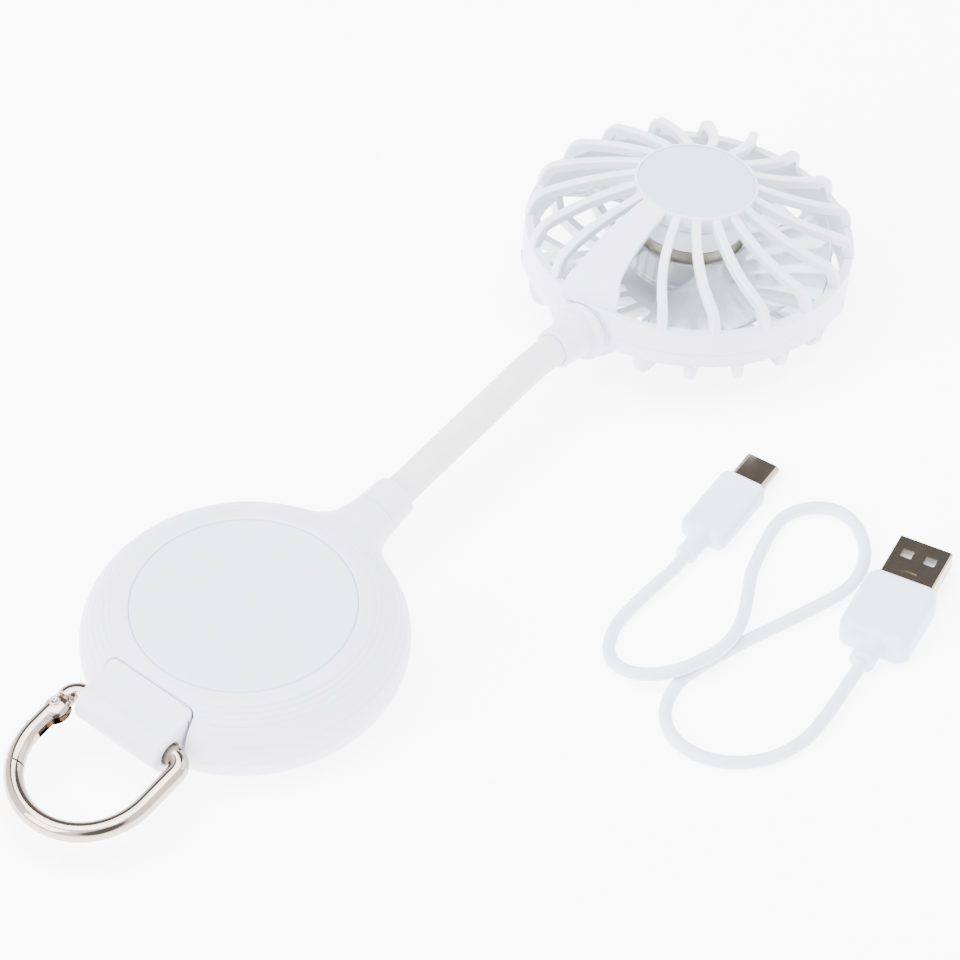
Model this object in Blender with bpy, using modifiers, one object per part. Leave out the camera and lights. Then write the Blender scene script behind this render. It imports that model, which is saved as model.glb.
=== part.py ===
"""Portable fan: a round battery base, a bendable neck, a caged fan head, a snap hook and a charging lead.

Metres, +Z up. The origin is the centre of the base's flat underside. The neck leaves the base along +X and
the fan lies on its front, so the rear grille faces up.
"""
import math

import bmesh
import bpy
from mathutils import Matrix, Vector

# Fits that all pieces share
FIT = 0.0003
OVERRUN = 0.002
WELD = 0.00001

# Counts of sides and steps
BASE_SIDES = 40
HEAD_SIDES = 48
HUB_SIDES = 28
MOTOR_SIDES = 20
SMALL_SIDES = 10
LINK_SIDES = 10
EDGE_STEPS = 8
CORNER_STEPS = 3
BALL_STEPS = 3

# Base: two shells that meet at half height, with a fully rounded edge
BASE_RADIUS = 0.034
BASE_HEIGHT = 0.020
BASE_MIDDLE = BASE_HEIGHT / 2.0
BASE_FLAT_RADIUS = BASE_RADIUS - BASE_MIDDLE
SHELL_WALL = 0.002
PANEL_MARGIN = 0.0009
PANEL_RADIUS = BASE_FLAT_RADIUS - PANEL_MARGIN
PANEL_THICKNESS = 0.0014
PANEL_EDGE = 0.0003
PANEL_FLOOR = BASE_HEIGHT - PANEL_THICKNESS - FIT
CEILING = PANEL_FLOOR - SHELL_WALL

# Screws that hold the shells together, under the top panel
SCREW_MARGIN = 0.0021
SCREW_CIRCLE = PANEL_RADIUS - SCREW_MARGIN
SCREW_COUNT = 4
SCREW_START_DEG = 45.0
SCREW_HEAD_RADIUS = 0.0022
SCREW_HEAD_HEIGHT = 0.0011
SCREW_SHANK_RADIUS = 0.0012
SCREW_POST_RADIUS = 0.003
SCREW_SEAT_DEPTH = 0.0017
SCREW_BITE = 0.004
SCREW_TIP_HEIGHT = BASE_MIDDLE - SCREW_BITE

# What the base holds
BOARD_POST_GAP = 0.003
BOARD_RADIUS = SCREW_CIRCLE - SCREW_POST_RADIUS - BOARD_POST_GAP
BOARD_THICKNESS = 0.001
BOARD_LIFT = 0.0028
BOARD_BOTTOM = SHELL_WALL + BOARD_LIFT
BOARD_TOP = BOARD_BOTTOM + BOARD_THICKNESS
BOARD_TAB_HALF_WIDTH = 0.0055
BOARD_TAB_INSET = 0.007
BOARD_TAB_REACH = BASE_RADIUS - BOARD_TAB_INSET
BATTERY_END_GAP = 0.0091
BATTERY_POST_GAP = 0.00085
BATTERY_ROOF_GAP = 0.0013
BATTERY_BOARD_GAP = 0.0012
BATTERY_CORNER = 0.0015
BATTERY_HALF_LENGTH = PANEL_RADIUS - BATTERY_END_GAP
POST_SIDE = SCREW_CIRCLE * math.sin(math.radians(SCREW_START_DEG))
BATTERY_HALF_WIDTH = POST_SIDE - SCREW_POST_RADIUS - BATTERY_POST_GAP
BATTERY_BOTTOM = BOARD_TOP + BATTERY_BOARD_GAP
BATTERY_TOP = CEILING - BATTERY_ROOF_GAP
PORT_WIDTH = 0.009
PORT_HEIGHT = 0.0032
PORT_DEPTH = 0.0073
PORT_WALL = 0.0004
PORT_RECESS = 0.001

# Button and indicator in the underside
BUTTON_INSET = 0.001
BUTTON_PLACE = BOARD_RADIUS - BUTTON_INSET
BUTTON_RADIUS = 0.006
BUTTON_FLANGE = 0.001
BUTTON_FLANGE_HEIGHT = 0.0005
BUTTON_PIP_RADIUS = 0.001
BUTTON_PIP_HEIGHT = 0.0003
BUTTON_TRAVEL = 0.0005
SWITCH_SIZE = 0.006
SWITCH_STEM_RADIUS = 0.0017
SWITCH_STEM_HEIGHT = 0.0002
SWITCH_SPARE = 0.0001
LENS_INSET = 0.003
LENS_PLACE = LENS_INSET - BOARD_RADIUS
LENS_RADIUS = 0.0015
LENS_HEIGHT = 0.004

# Neck: its axis starts over the base's centre and rises a little
NECK_ROOT_DROP = 0.0008
NECK_ROOT_HEIGHT = BASE_MIDDLE - NECK_ROOT_DROP
NECK_SLOPE_DEG = 6.0
NECK_RADIUS = 0.0035
NECK_BORE_RADIUS = NECK_RADIUS + FIT
NECK_FLANGE_STEP = 0.0006
NECK_FLANGE_RADIUS = NECK_RADIUS + NECK_FLANGE_STEP
NECK_FLANGE_THICKNESS = 0.002
BOSS_INSET = 0.008
BOSS_START = BASE_RADIUS - BOSS_INSET
BOSS_LENGTH = 0.0145
BOSS_END = BOSS_START + BOSS_LENGTH
BOSS_WALL = 0.0015
BOSS_END_RADIUS = NECK_BORE_RADIUS + BOSS_WALL
NECK_ANCHOR_START = BOSS_START
BOSS_FLARE = 0.0077
BOSS_RISE = 0.0012
BOSS_FLARE_POWER = 1.8
BOSS_RISE_POWER = 1.6
BOSS_SECTION_SHARES = (0.0, 0.15, 0.32, 0.52, 0.76, 1.0)
BOSS_SIDES = 18
COLLAR_LENGTH = 0.0066
COLLAR_MOUTH = BOSS_END + FIT + COLLAR_LENGTH
COLLAR_ROOT_WALL = 0.0014
COLLAR_ROOT_RADIUS = NECK_BORE_RADIUS + COLLAR_ROOT_WALL
COLLAR_MOUTH_WALL = 0.0009
COLLAR_MOUTH_RADIUS = NECK_BORE_RADIUS + COLLAR_MOUTH_WALL
COLLAR_EDGE = 0.0005

# Links of the neck, each with a ball at its near joint and a cup for the next ball
LINK_PITCH = 0.0064
LINK_COUNT = 7
LINK_LEAD = LINK_PITCH / 2.0
FIRST_JOINT = COLLAR_MOUTH + LINK_LEAD
LINK_GAP = 0.0019
LINK_EDGE = 0.0003
BALL_SHARE = 0.6
BALL_RADIUS = NECK_RADIUS * BALL_SHARE
CUP_RADIUS = BALL_RADIUS + FIT
LAST_LINK_SLOPE_DEG = 0.0
HEAD_SLOPE_DEG = -6.9

# Head: a short ring with a rear and a front grille that meet at a parting plane
HEAD_RADIUS = 0.0365
HEAD_WALL = 0.002
HEAD_INNER_RADIUS = HEAD_RADIUS - HEAD_WALL
HEAD_REAR_EDGE = 0.0047
HEAD_FRONT_EDGE = -0.0047
HEAD_PARTING = -0.001
HEAD_EDGE_ROUND = 0.0008
HEAD_COLLAR_DROP = 0.0025
HEAD_FLANGE_WALL = 0.003
HEAD_FLANGE_RADIUS = NECK_BORE_RADIUS + HEAD_FLANGE_WALL
HEAD_FLANGE_THICKNESS = 0.0016
HEAD_FLANGE_BACK = HEAD_RADIUS + FIT + FIT / 2.0
HEAD_FLANGE_FRONT = HEAD_FLANGE_BACK + HEAD_FLANGE_THICKNESS
HEAD_COLLAR_LENGTH = 0.00815
HEAD_COLLAR_REACH = HEAD_FLANGE_FRONT + HEAD_COLLAR_LENGTH
HEAD_COLLAR_ROOT_WALL = 0.0011
HEAD_COLLAR_ROOT_RADIUS = NECK_BORE_RADIUS + HEAD_COLLAR_ROOT_WALL
HEAD_COLLAR_MOUTH_WALL = 0.0007
HEAD_COLLAR_MOUTH_RADIUS = NECK_BORE_RADIUS + HEAD_COLLAR_MOUTH_WALL
HEAD_BOSS_WALL = 0.0028
HEAD_BOSS_RADIUS = NECK_BORE_RADIUS + HEAD_BOSS_WALL
HEAD_BOSS_DEPTH = 0.0033

# Ribs of the two grilles
REAR_RIB_COUNT = 18
REAR_RIB_PITCH_DEG = 18.5
REAR_RIB_START_DEG = -160.0
RIB_WIDTH = 0.0022
RIB_DEPTH = 0.0034
RIB_SWEEP_DEG = 9.0
RIB_SWEEP_POWER = 1.7
RIB_SHOULDER_RUN = 0.0025
RIB_SHOULDER_RADIUS = HEAD_RADIUS - RIB_SHOULDER_RUN
RIB_STATION_SHARES = (0.0, 0.35, 0.7, 1.0)
RIB_SHOULDER_SHARES = ((0.55, 0.25), (0.92, 0.72))
RIB_WALL_OVERLAP = 0.0015
REAR_RIB_TOP_AT_HUB = 0.0182
REAR_RIB_TOP_AT_SHOULDER = 0.0102
WIDE_RIB_DEG = 174.6
WIDE_RIB_SWEEP_DEG = 6.5
WIDE_RIB_ROOT_HALF_WIDTH = 0.0033
WIDE_RIB_END_HALF_WIDTH = 0.0062
FRONT_RIB_COUNT = 20
FRONT_RIB_START_DEG = -150.0
FRONT_RIB_DEPTH = 0.003
FRONT_RIB_TOP_AT_HUB = -0.0128
FRONT_RIB_TOP_AT_SHOULDER = -0.0099

# Hubs of the two grilles, each with a round plate let into it
HUB_RADIUS = 0.0136
HUB_RIM = 0.0013
HUB_RIM_ROUND = 0.0005
HUB_PLATE_RADIUS = HUB_RADIUS - HUB_RIM - FIT
HUB_PLATE_THICKNESS = 0.0013
REAR_HUB_TOP = 0.0184
REAR_HUB_DEPTH = 0.0049
FRONT_HUB_TOP = -0.0132
FRONT_HUB_DEPTH = 0.0034
HUB_PLATE_INSET = 0.0002
RIB_ROOT_OVERLAP = 0.0007

# Motor
CAN_RADIUS = 0.0120
CAN_WALL = 0.0008
CAN_DEPTH = 0.0096
CAN_FACE = 0.0012
MOTOR_CUP_OVERHANG = 0.0003
MOTOR_CUP_RADIUS = CAN_RADIUS + MOTOR_CUP_OVERHANG
MOTOR_CUP_HEIGHT = 0.0053
MOTOR_CUP_FLOOR = 0.0024
MOTOR_CUP_WALL = 0.0012
MOTOR_TUBE_RADIUS = 0.003
MOTOR_TUBE_LENGTH = 0.0075
MOTOR_CUP_ROOF = 0.0012
BUSH_RADIUS = 0.002
SHAFT_RADIUS = 0.00095
BUSH_END_GAP = 0.0005
MAGNET_THICKNESS = 0.0008
MAGNET_LENGTH = 0.0064
MAGNET_INSET = 0.001
AIR_GAP = 0.0004
STATOR_RADIUS = CAN_RADIUS - CAN_WALL - FIT - MAGNET_THICKNESS - AIR_GAP
STATOR_LENGTH = 0.006
STATOR_TOP = 0.0066
STATOR_TOOTH_COUNT = 6
STATOR_CORE_SHARE = 0.6
STATOR_TOOTH_SHARE = 0.68
MOTOR_BOARD_INSET = 0.0002
MOTOR_BOARD_RADIUS = STATOR_RADIUS - MOTOR_BOARD_INSET
MOTOR_BOARD_THICKNESS = 0.0008
MOTOR_SCREW_CIRCLE = 0.007
MOTOR_SCREW_COUNT = 3
MOTOR_SCREW_HEAD_RADIUS = 0.0015
MOTOR_SCREW_HEAD_HEIGHT = 0.0011
MOTOR_SCREW_SHANK_RADIUS = 0.0008
MOTOR_SCREW_SEAT_DEPTH = 0.0016
MOTOR_SCREW_BITE = 0.0009

# Impeller
IMPELLER_HUB_WALL = 0.0009
IMPELLER_HUB_RADIUS = CAN_RADIUS + FIT + IMPELLER_HUB_WALL
IMPELLER_HUB_TOP = 0.0048
IMPELLER_FACE = 0.0011
IMPELLER_EDGE = 0.0006
BLADE_COUNT = 5
BLADE_TIP_GAP = 0.0025
BLADE_TIP_RADIUS = HEAD_INNER_RADIUS - BLADE_TIP_GAP
BLADE_THICKNESS = 0.0012
BLADE_ROOT_HALF_HEIGHT = 0.0042
BLADE_TIP_HALF_HEIGHT = 0.0048
BLADE_ROOT_HALF_DEG = 23.0
BLADE_TIP_HALF_DEG = 29.0
BLADE_SWEEP_DEG = 14.0
BLADE_ROOT_OVERLAP = 0.0004
BLADE_STATION_SHARES = (0.0, 0.3, 0.65, 1.0)
BLADE_CHORD_SHARES = (-1.0, -0.33, 0.33, 1.0)

# Clip loop at the base's edge, with a channel along Y for the snap hook's bar
HOOK_WIRE_RADIUS = 0.0021
CLIP_PLACE = -BASE_RADIUS
CLIP_AXIS_RISE = 0.0025
CLIP_AXIS_HEIGHT = BASE_MIDDLE + CLIP_AXIS_RISE
CLIP_CHANNEL_GAP = 0.0005
CLIP_CHANNEL_RADIUS = HOOK_WIRE_RADIUS + CLIP_CHANNEL_GAP
CLIP_WALL = 0.0019
CLIP_RADIUS = CLIP_CHANNEL_RADIUS + CLIP_WALL
CLIP_HALF_WIDTH = 0.0114
CLIP_REACH = 0.0076
CLIP_RISE = 0.0019
CLIP_EDGE = 0.0008
CLIP_STEM_HALF_WIDTH = 0.006
CLIP_STEM_HALF_HEIGHT = 0.0012
CLIP_HEAD_HALF_WIDTH = 0.008
CLIP_HEAD_THICKNESS = 0.0012
POCKET_SIDE_GAP = 0.0004
POCKET_FLARE = 0.002
POCKET_FLOOR_GAP = 0.001
POCKET_FLOOR = CLIP_AXIS_HEIGHT - CLIP_RADIUS - POCKET_FLOOR_GAP
POCKET_WALL = 0.0019
POCKET_BACKING = 0.0025

# Snap hook: a D of round wire, with a gate in one side
HOOK_SIDE_GAP = 0.0017
HOOK_HALF_WIDTH = CLIP_HALF_WIDTH + HOOK_SIDE_GAP + HOOK_WIRE_RADIUS
HOOK_CORNER_RADIUS = 0.003
HOOK_SIDE_LENGTH = 0.009
HOOK_DROOP_DEG = 9.4
HOOK_SLOPE = math.radians(HOOK_DROOP_DEG)
HOOK_ARC_STEPS = 16
HOOK_BAR_STEPS = 4
GATE_PIN_PLACE = 0.0055
GATE_PIN_RADIUS = 0.0007
GATE_PIN_HALF_LENGTH = 0.0024
GATE_CHEEK_HALF_HEIGHT = 0.0019
GATE_NOSE_DEG = 57.0
GATE_NOSE_LAP_DEG = 8.0
GATE_NOSE_GAP = 0.0004
GATE_NOSE_SPREAD_DEG = 14.0
GATE_TONGUE_HALF_THICKNESS = 0.00075
GATE_BACK_GAP = 0.0006
GATE_SLOT_REACH = 0.0085
SPRING_RADIUS = 0.0006
SPRING_LENGTH = 0.004

# Charging lead
CORD_DIAMETER = 0.0028
CORD_SPANS = 76
CORD_SPLINE_STEPS = 16
CORD_LEAD = 0.0045
CORD_POINTS = (
    (0.0710, -0.0508, 0.0021),
    (0.0640, -0.0507, 0.0016),
    (0.0572, -0.0514, 0.0015),
    (0.0519, -0.0539, 0.0015),
    (0.0491, -0.0574, 0.0018),
    (0.0486, -0.0619, 0.0027),
    (0.0500, -0.0662, 0.0038),
    (0.0537, -0.0699, 0.0045),
    (0.0585, -0.0721, 0.0047),
    (0.0637, -0.0734, 0.0047),
    (0.0694, -0.0730, 0.0044),
    (0.0760, -0.0704, 0.0031),
    (0.0826, -0.0665, 0.0020),
    (0.0887, -0.0631, 0.0015),
    (0.1005, -0.0594, 0.0015),
    (0.1062, -0.0597, 0.0015),
    (0.1107, -0.0625, 0.0015),
    (0.1131, -0.0669, 0.0015),
    (0.1123, -0.0723, 0.0015),
    (0.1086, -0.0773, 0.0015),
    (0.1035, -0.0805, 0.0015),
    (0.0979, -0.0816, 0.0015),
    (0.0920, -0.0808, 0.0015),
    (0.0795, -0.0770, 0.0015),
    (0.0683, -0.0736, 0.0015),
    (0.0565, -0.0711, 0.0015),
    (0.0506, -0.0716, 0.0015),
    (0.0456, -0.0739, 0.0015),
    (0.0423, -0.0777, 0.0015),
    (0.0410, -0.0825, 0.0015),
    (0.0417, -0.0877, 0.0015),
    (0.0444, -0.0927, 0.0015),
    (0.0489, -0.0968, 0.0015),
    (0.0548, -0.0993, 0.0016),
    (0.0618, -0.1002, 0.0022),
)

# Slim plug of the lead
SLIM_PLACE = (0.0872, -0.0498)
SLIM_TURN_DEG = 7.0
SLIM_GRIP_LENGTH = 0.0192
SLIM_SHELL_WIDTH = 0.00825
SLIM_SHELL_HEIGHT = 0.0024
SLIM_SIDE_WALLS = 0.00255
SLIM_FACE_WALLS = 0.0024
SLIM_GRIP_WIDTH = SLIM_SHELL_WIDTH + SLIM_SIDE_WALLS
SLIM_GRIP_HEIGHT = SLIM_SHELL_HEIGHT + SLIM_FACE_WALLS
SLIM_GRIP_CORNER = 0.002
SLIM_GRIP_EDGE = 0.0014
SLIM_RELIEF_LENGTH = 0.0059
SLIM_RELIEF_ROOT = 0.0024
SLIM_RELIEF_END = 0.0022
SLIM_SHELL_REACH = 0.0069
SLIM_SHELL_WALL = 0.0003
SLIM_CORE_GAPS = 0.00205
SLIM_CORE_WIDTH = SLIM_SHELL_WIDTH - SLIM_CORE_GAPS
SLIM_CORE_HEIGHT = 0.0007

# Wide plug of the lead
WIDE_PLACE = (0.0854, -0.0961)
WIDE_TURN_DEG = 13.7
WIDE_GRIP_LENGTH = 0.0184
WIDE_SHELL_WIDTH = 0.012
WIDE_SHELL_HEIGHT = 0.0045
WIDE_SIDE_WALLS = 0.0038
WIDE_FACE_WALLS = 0.0029
WIDE_GRIP_WIDTH = WIDE_SHELL_WIDTH + WIDE_SIDE_WALLS
WIDE_GRIP_HEIGHT = WIDE_SHELL_HEIGHT + WIDE_FACE_WALLS
WIDE_GRIP_CORNER = 0.0025
WIDE_GRIP_EDGE = 0.0016
WIDE_RELIEF_LENGTH = 0.0050
WIDE_RELIEF_ROOT = 0.0030
WIDE_RELIEF_END = 0.0026
WIDE_SHELL_REACH = 0.0113
WIDE_SHELL_WALL = 0.00035
WIDE_CORE_GAPS = 0.0016
WIDE_CORE_WIDTH = WIDE_SHELL_WIDTH - WIDE_CORE_GAPS
WIDE_CORE_HEIGHT = 0.0018
WIDE_HOLE_PLACE = 0.0058
WIDE_HOLE_LENGTH = 0.0022
WIDE_HOLE_WIDTH = 0.0025
WIDE_HOLE_MARGIN = 0.0034
WIDE_HOLE_SPREAD = WIDE_SHELL_WIDTH / 2.0 - WIDE_HOLE_MARGIN

# What both plugs share
PLUG_REST_GAP = 0.0001
PLUG_SOCKET_DEPTH = 0.004
RELIEF_OVERLAP = 0.001

# Heights of the motor, from the hub down
CUP_TOP = REAR_HUB_TOP - REAR_HUB_DEPTH - FIT
CUP_BOTTOM = CUP_TOP - MOTOR_CUP_HEIGHT
CAN_TOP = CUP_BOTTOM - FIT
CAN_FRONT = CAN_TOP - CAN_DEPTH

ALONG_X = (0.0, math.pi / 2.0, 0.0)
AGAINST_X = (0.0, -math.pi / 2.0, 0.0)
ALONG_Y = (-math.pi / 2.0, 0.0, 0.0)
NO_TURN = (0.0, 0.0, 0.0)
NOWHERE = (0.0, 0.0, 0.0)

WHITE = ((0.88, 0.88, 0.89), 0.38, 0.0)
WARM_WHITE = ((0.84, 0.84, 0.83), 0.55, 0.0)
SOFT_WHITE = ((0.80, 0.80, 0.79), 0.70, 0.0)
CLEAR = ((0.72, 0.76, 0.80), 0.15, 0.0)
NICKEL = ((0.62, 0.59, 0.55), 0.20, 1.0)
STEEL = ((0.55, 0.55, 0.52), 0.30, 1.0)
DARK_STEEL = ((0.25, 0.24, 0.23), 0.35, 1.0)
COPPER = ((0.60, 0.30, 0.16), 0.35, 1.0)
BRONZE = ((0.50, 0.38, 0.22), 0.40, 1.0)
GREEN = ((0.04, 0.20, 0.10), 0.50, 0.0)
BLACK = ((0.03, 0.03, 0.03), 0.50, 0.0)


def clear_scene():
    """Remove every object of the open scene."""
    for obj in list(bpy.data.objects):
        bpy.data.objects.remove(obj, do_unlink=True)


def new_collection(name):
    """Add a collection to the scene."""
    collection = bpy.data.collections.new(name)
    bpy.context.scene.collection.children.link(collection)
    return collection


clear_scene()
PARTS = new_collection("portable_fan")
GUIDES = new_collection("cutters_and_frames")


def place(obj, frame, location, rotation):
    """Set an object's place in its frame."""
    obj.parent = frame
    obj.location = location
    obj.rotation_euler = rotation
    return obj


def frame_at(name, location, rotation=NO_TURN, parent=None):
    """Make an empty that carries the pieces of one sub-assembly."""
    empty = bpy.data.objects.new(name, None)
    empty.empty_display_size = LINK_PITCH
    GUIDES.objects.link(empty)
    return place(empty, parent, location, rotation)


def dress(obj, finish):
    """Give a piece its own material."""
    colour, roughness, metallic = finish
    material = bpy.data.materials.new(obj.name + "_finish")
    material.use_nodes = True
    shader = material.node_tree.nodes["Principled BSDF"]
    shader.inputs["Base Color"].default_value = (*colour, 1.0)
    shader.inputs["Roughness"].default_value = roughness
    shader.inputs["Metallic"].default_value = metallic
    material.diffuse_color = (*colour, 1.0)
    obj.data.materials.append(material)


def add(name, mesh, finish, frame=None, location=NOWHERE, rotation=NO_TURN):
    """Add a mesh as a piece, or as a cutter where it has no finish."""
    obj = bpy.data.objects.new(name, mesh)
    if finish is None:
        GUIDES.objects.link(obj)
        obj.hide_render = True
        obj.display_type = "WIRE"
    else:
        PARTS.objects.link(obj)
        dress(obj, finish)
    return place(obj, frame, location, rotation)


def boolean(target, tool, operation):
    """Put an exact Boolean modifier on a piece."""
    modifier = target.modifiers.new(tool.name, "BOOLEAN")
    modifier.operation = operation
    modifier.solver = "EXACT"
    modifier.object = tool
    return target


def cut(target, *tools):
    """Cut each tool from a piece."""
    for tool in tools:
        boolean(target, tool, "DIFFERENCE")
    return target


def join(target, *tools):
    """Join each tool to a piece."""
    for tool in tools:
        boolean(target, tool, "UNION")
    return target


def bevel(obj, width, segments=2):
    """Round the sharp edges of a piece."""
    modifier = obj.modifiers.new("edge", "BEVEL")
    modifier.width = width
    modifier.segments = segments
    modifier.limit_method = "ANGLE"
    modifier.angle_limit = math.radians(50.0)
    return obj


def turned(name, profile, sides, finish, frame=None, location=NOWHERE, rotation=NO_TURN):
    """Turn a profile of (radius, height) points about Z; it runs down its outer side."""
    mesh = bpy.data.meshes.new(name)
    edges = [(index, index + 1) for index in range(len(profile) - 1)]
    if profile[0][0] > 0.0:
        edges.append((len(profile) - 1, 0))
    mesh.from_pydata([(radius, 0.0, height) for radius, height in profile], edges, [])
    obj = add(name, mesh, finish, frame, location, rotation)
    screw = obj.modifiers.new("turn", "SCREW")
    screw.steps = sides
    screw.render_steps = sides
    screw.use_merge_vertices = True
    screw.merge_threshold = WELD
    screw.use_smooth_shade = True
    return obj


def mesh_from(name, build):
    """Make a mesh from a function that fills a bmesh."""
    mesh = bpy.data.meshes.new(name)
    cage = bmesh.new()
    build(cage)
    cage.to_mesh(mesh)
    cage.free()
    return mesh


def box(name, low, high, finish, frame=None, rotation=NO_TURN):
    """Make a box between two corners of its frame."""
    low, high = Vector(low), Vector(high)
    matrix = Matrix.Translation((low + high) / 2.0) @ Matrix.Diagonal((*(high - low), 1.0))
    mesh = mesh_from(name, lambda cage: bmesh.ops.create_cube(cage, size=1.0, matrix=matrix))
    return add(name, mesh, finish, frame, NOWHERE, rotation)


def cylinder(name, radius, bottom, top, sides, finish, frame=None, location=NOWHERE, rotation=NO_TURN,
             top_radius=None):
    """Make a cylinder or cone between two heights of its own Z axis."""
    end = radius if top_radius is None else top_radius
    matrix = Matrix.Translation((0.0, 0.0, (bottom + top) / 2.0))
    mesh = mesh_from(name, lambda cage: bmesh.ops.create_cone(
        cage, cap_ends=True, segments=sides, radius1=radius, radius2=end, depth=top - bottom, matrix=matrix))
    mesh.shade_smooth()
    mesh.set_sharp_from_angle(angle=math.radians(40.0))
    return add(name, mesh, finish, frame, location, rotation)


def cylinders(name, places, radius, bottom, top, sides, frame=None):
    """Make a cutter of several upright cylinders that stand apart."""
    def build(cage):
        for x, y in places:
            matrix = Matrix.Translation((x, y, (bottom + top) / 2.0))
            bmesh.ops.create_cone(cage, cap_ends=True, segments=sides, radius1=radius, radius2=radius,
                                  depth=top - bottom, matrix=matrix)
    return add(name, mesh_from(name, build), None, frame)


def loft_into(cage, sections):
    """Skin a row of like sections into a closed body."""
    rows = [[cage.verts.new(point) for point in section] for section in sections]
    for low, high in zip(rows, rows[1:]):
        for index in range(len(low)):
            after = (index + 1) % len(low)
            cage.faces.new((low[index], low[after], high[after], high[index]))
    cage.faces.new(rows[0][::-1])
    cage.faces.new(rows[-1])


def lofts(name, bodies, finish, frame=None):
    """Make one mesh of lofted bodies that stand apart, with their faces pointing out."""
    def build(cage):
        for sections in bodies:
            loft_into(cage, sections)
        bmesh.ops.recalc_face_normals(cage, faces=cage.faces)
    return add(name, mesh_from(name, build), finish, frame)


def curve_to_mesh(obj, finish, frame, location, rotation):
    """Turn a curve object into a piece with welded caps, and remove the curve."""
    bpy.context.view_layer.update()
    graph = bpy.context.evaluated_depsgraph_get()
    mesh = bpy.data.meshes.new_from_object(obj.evaluated_get(graph))
    cage = bmesh.new()
    cage.from_mesh(mesh)
    cage.transform(obj.matrix_world)
    bmesh.ops.remove_doubles(cage, verts=cage.verts, dist=WELD)
    bmesh.ops.recalc_face_normals(cage, faces=cage.faces)
    cage.to_mesh(mesh)
    cage.free()
    name = obj.name
    data = obj.data
    bpy.data.objects.remove(obj, do_unlink=True)
    bpy.data.curves.remove(data)
    mesh.shade_smooth()
    mesh.set_sharp_from_angle(angle=math.radians(40.0))
    return add(name, mesh, finish, frame, location, rotation)


def plate(name, outline, bottom, top, finish, frame=None, location=NOWHERE, rotation=NO_TURN):
    """Make a flat plate from an outline, between two heights."""
    curve = bpy.data.curves.new(name, "CURVE")
    curve.dimensions = "2D"
    curve.fill_mode = "BOTH"
    curve.extrude = (top - bottom) / 2.0
    spline = curve.splines.new("POLY")
    spline.points.add(len(outline) - 1)
    for point, (x, y) in zip(spline.points, outline):
        point.co = (x, y, 0.0, 1.0)
    spline.use_cyclic_u = True
    obj = bpy.data.objects.new(name, curve)
    obj.location = (0.0, 0.0, (bottom + top) / 2.0)
    GUIDES.objects.link(obj)
    return curve_to_mesh(obj, finish, frame, location, rotation)


def tube(name, points, radius, resolution, finish, frame=None):
    """Make a round tube with flat ends along a row of points."""
    curve = bpy.data.curves.new(name, "CURVE")
    curve.dimensions = "3D"
    curve.bevel_depth = radius
    curve.bevel_resolution = resolution
    curve.use_fill_caps = True
    spline = curve.splines.new("POLY")
    spline.points.add(len(points) - 1)
    for point, co in zip(spline.points, points):
        point.co = (*co, 1.0)
    obj = bpy.data.objects.new(name, curve)
    GUIDES.objects.link(obj)
    return curve_to_mesh(obj, finish, frame, NOWHERE, NO_TURN)


def arc(centre, radius, start_deg, end_deg, steps):
    """List the points of an arc, both ends included."""
    points = []
    for step in range(steps + 1):
        angle = math.radians(start_deg + (end_deg - start_deg) * step / steps)
        points.append((centre[0] + radius * math.cos(angle), centre[1] + radius * math.sin(angle)))
    return points


def rounded_rectangle(low, high, radius):
    """List the outline of a rectangle with round corners, anticlockwise."""
    corners = ((high[0], high[1], 0.0), (low[0], high[1], 90.0), (low[0], low[1], 180.0),
               (high[0], low[1], 270.0))
    outline = []
    for x, y, start in corners:
        centre = (x - math.copysign(radius, x - low[0] - (high[0] - low[0]) / 2.0),
                  y - math.copysign(radius, y - low[1] - (high[1] - low[1]) / 2.0))
        outline.extend(arc(centre, radius, start, start + 90.0, CORNER_STEPS))
    return outline


def around(count, radius, start_deg=0.0):
    """List points evenly round a circle."""
    return arc((0.0, 0.0), radius, start_deg, start_deg + 360.0, count)[:-1]


def edge_arc(radius, high, low, steps):
    """List (radius, height) points down the base's rounded edge, at a distance from its centre line."""
    start = math.degrees(math.asin((high - BASE_MIDDLE) / radius))
    end = math.degrees(math.asin((low - BASE_MIDDLE) / radius))
    return arc((BASE_FLAT_RADIUS, BASE_MIDDLE), radius, start, end, steps)


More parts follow.
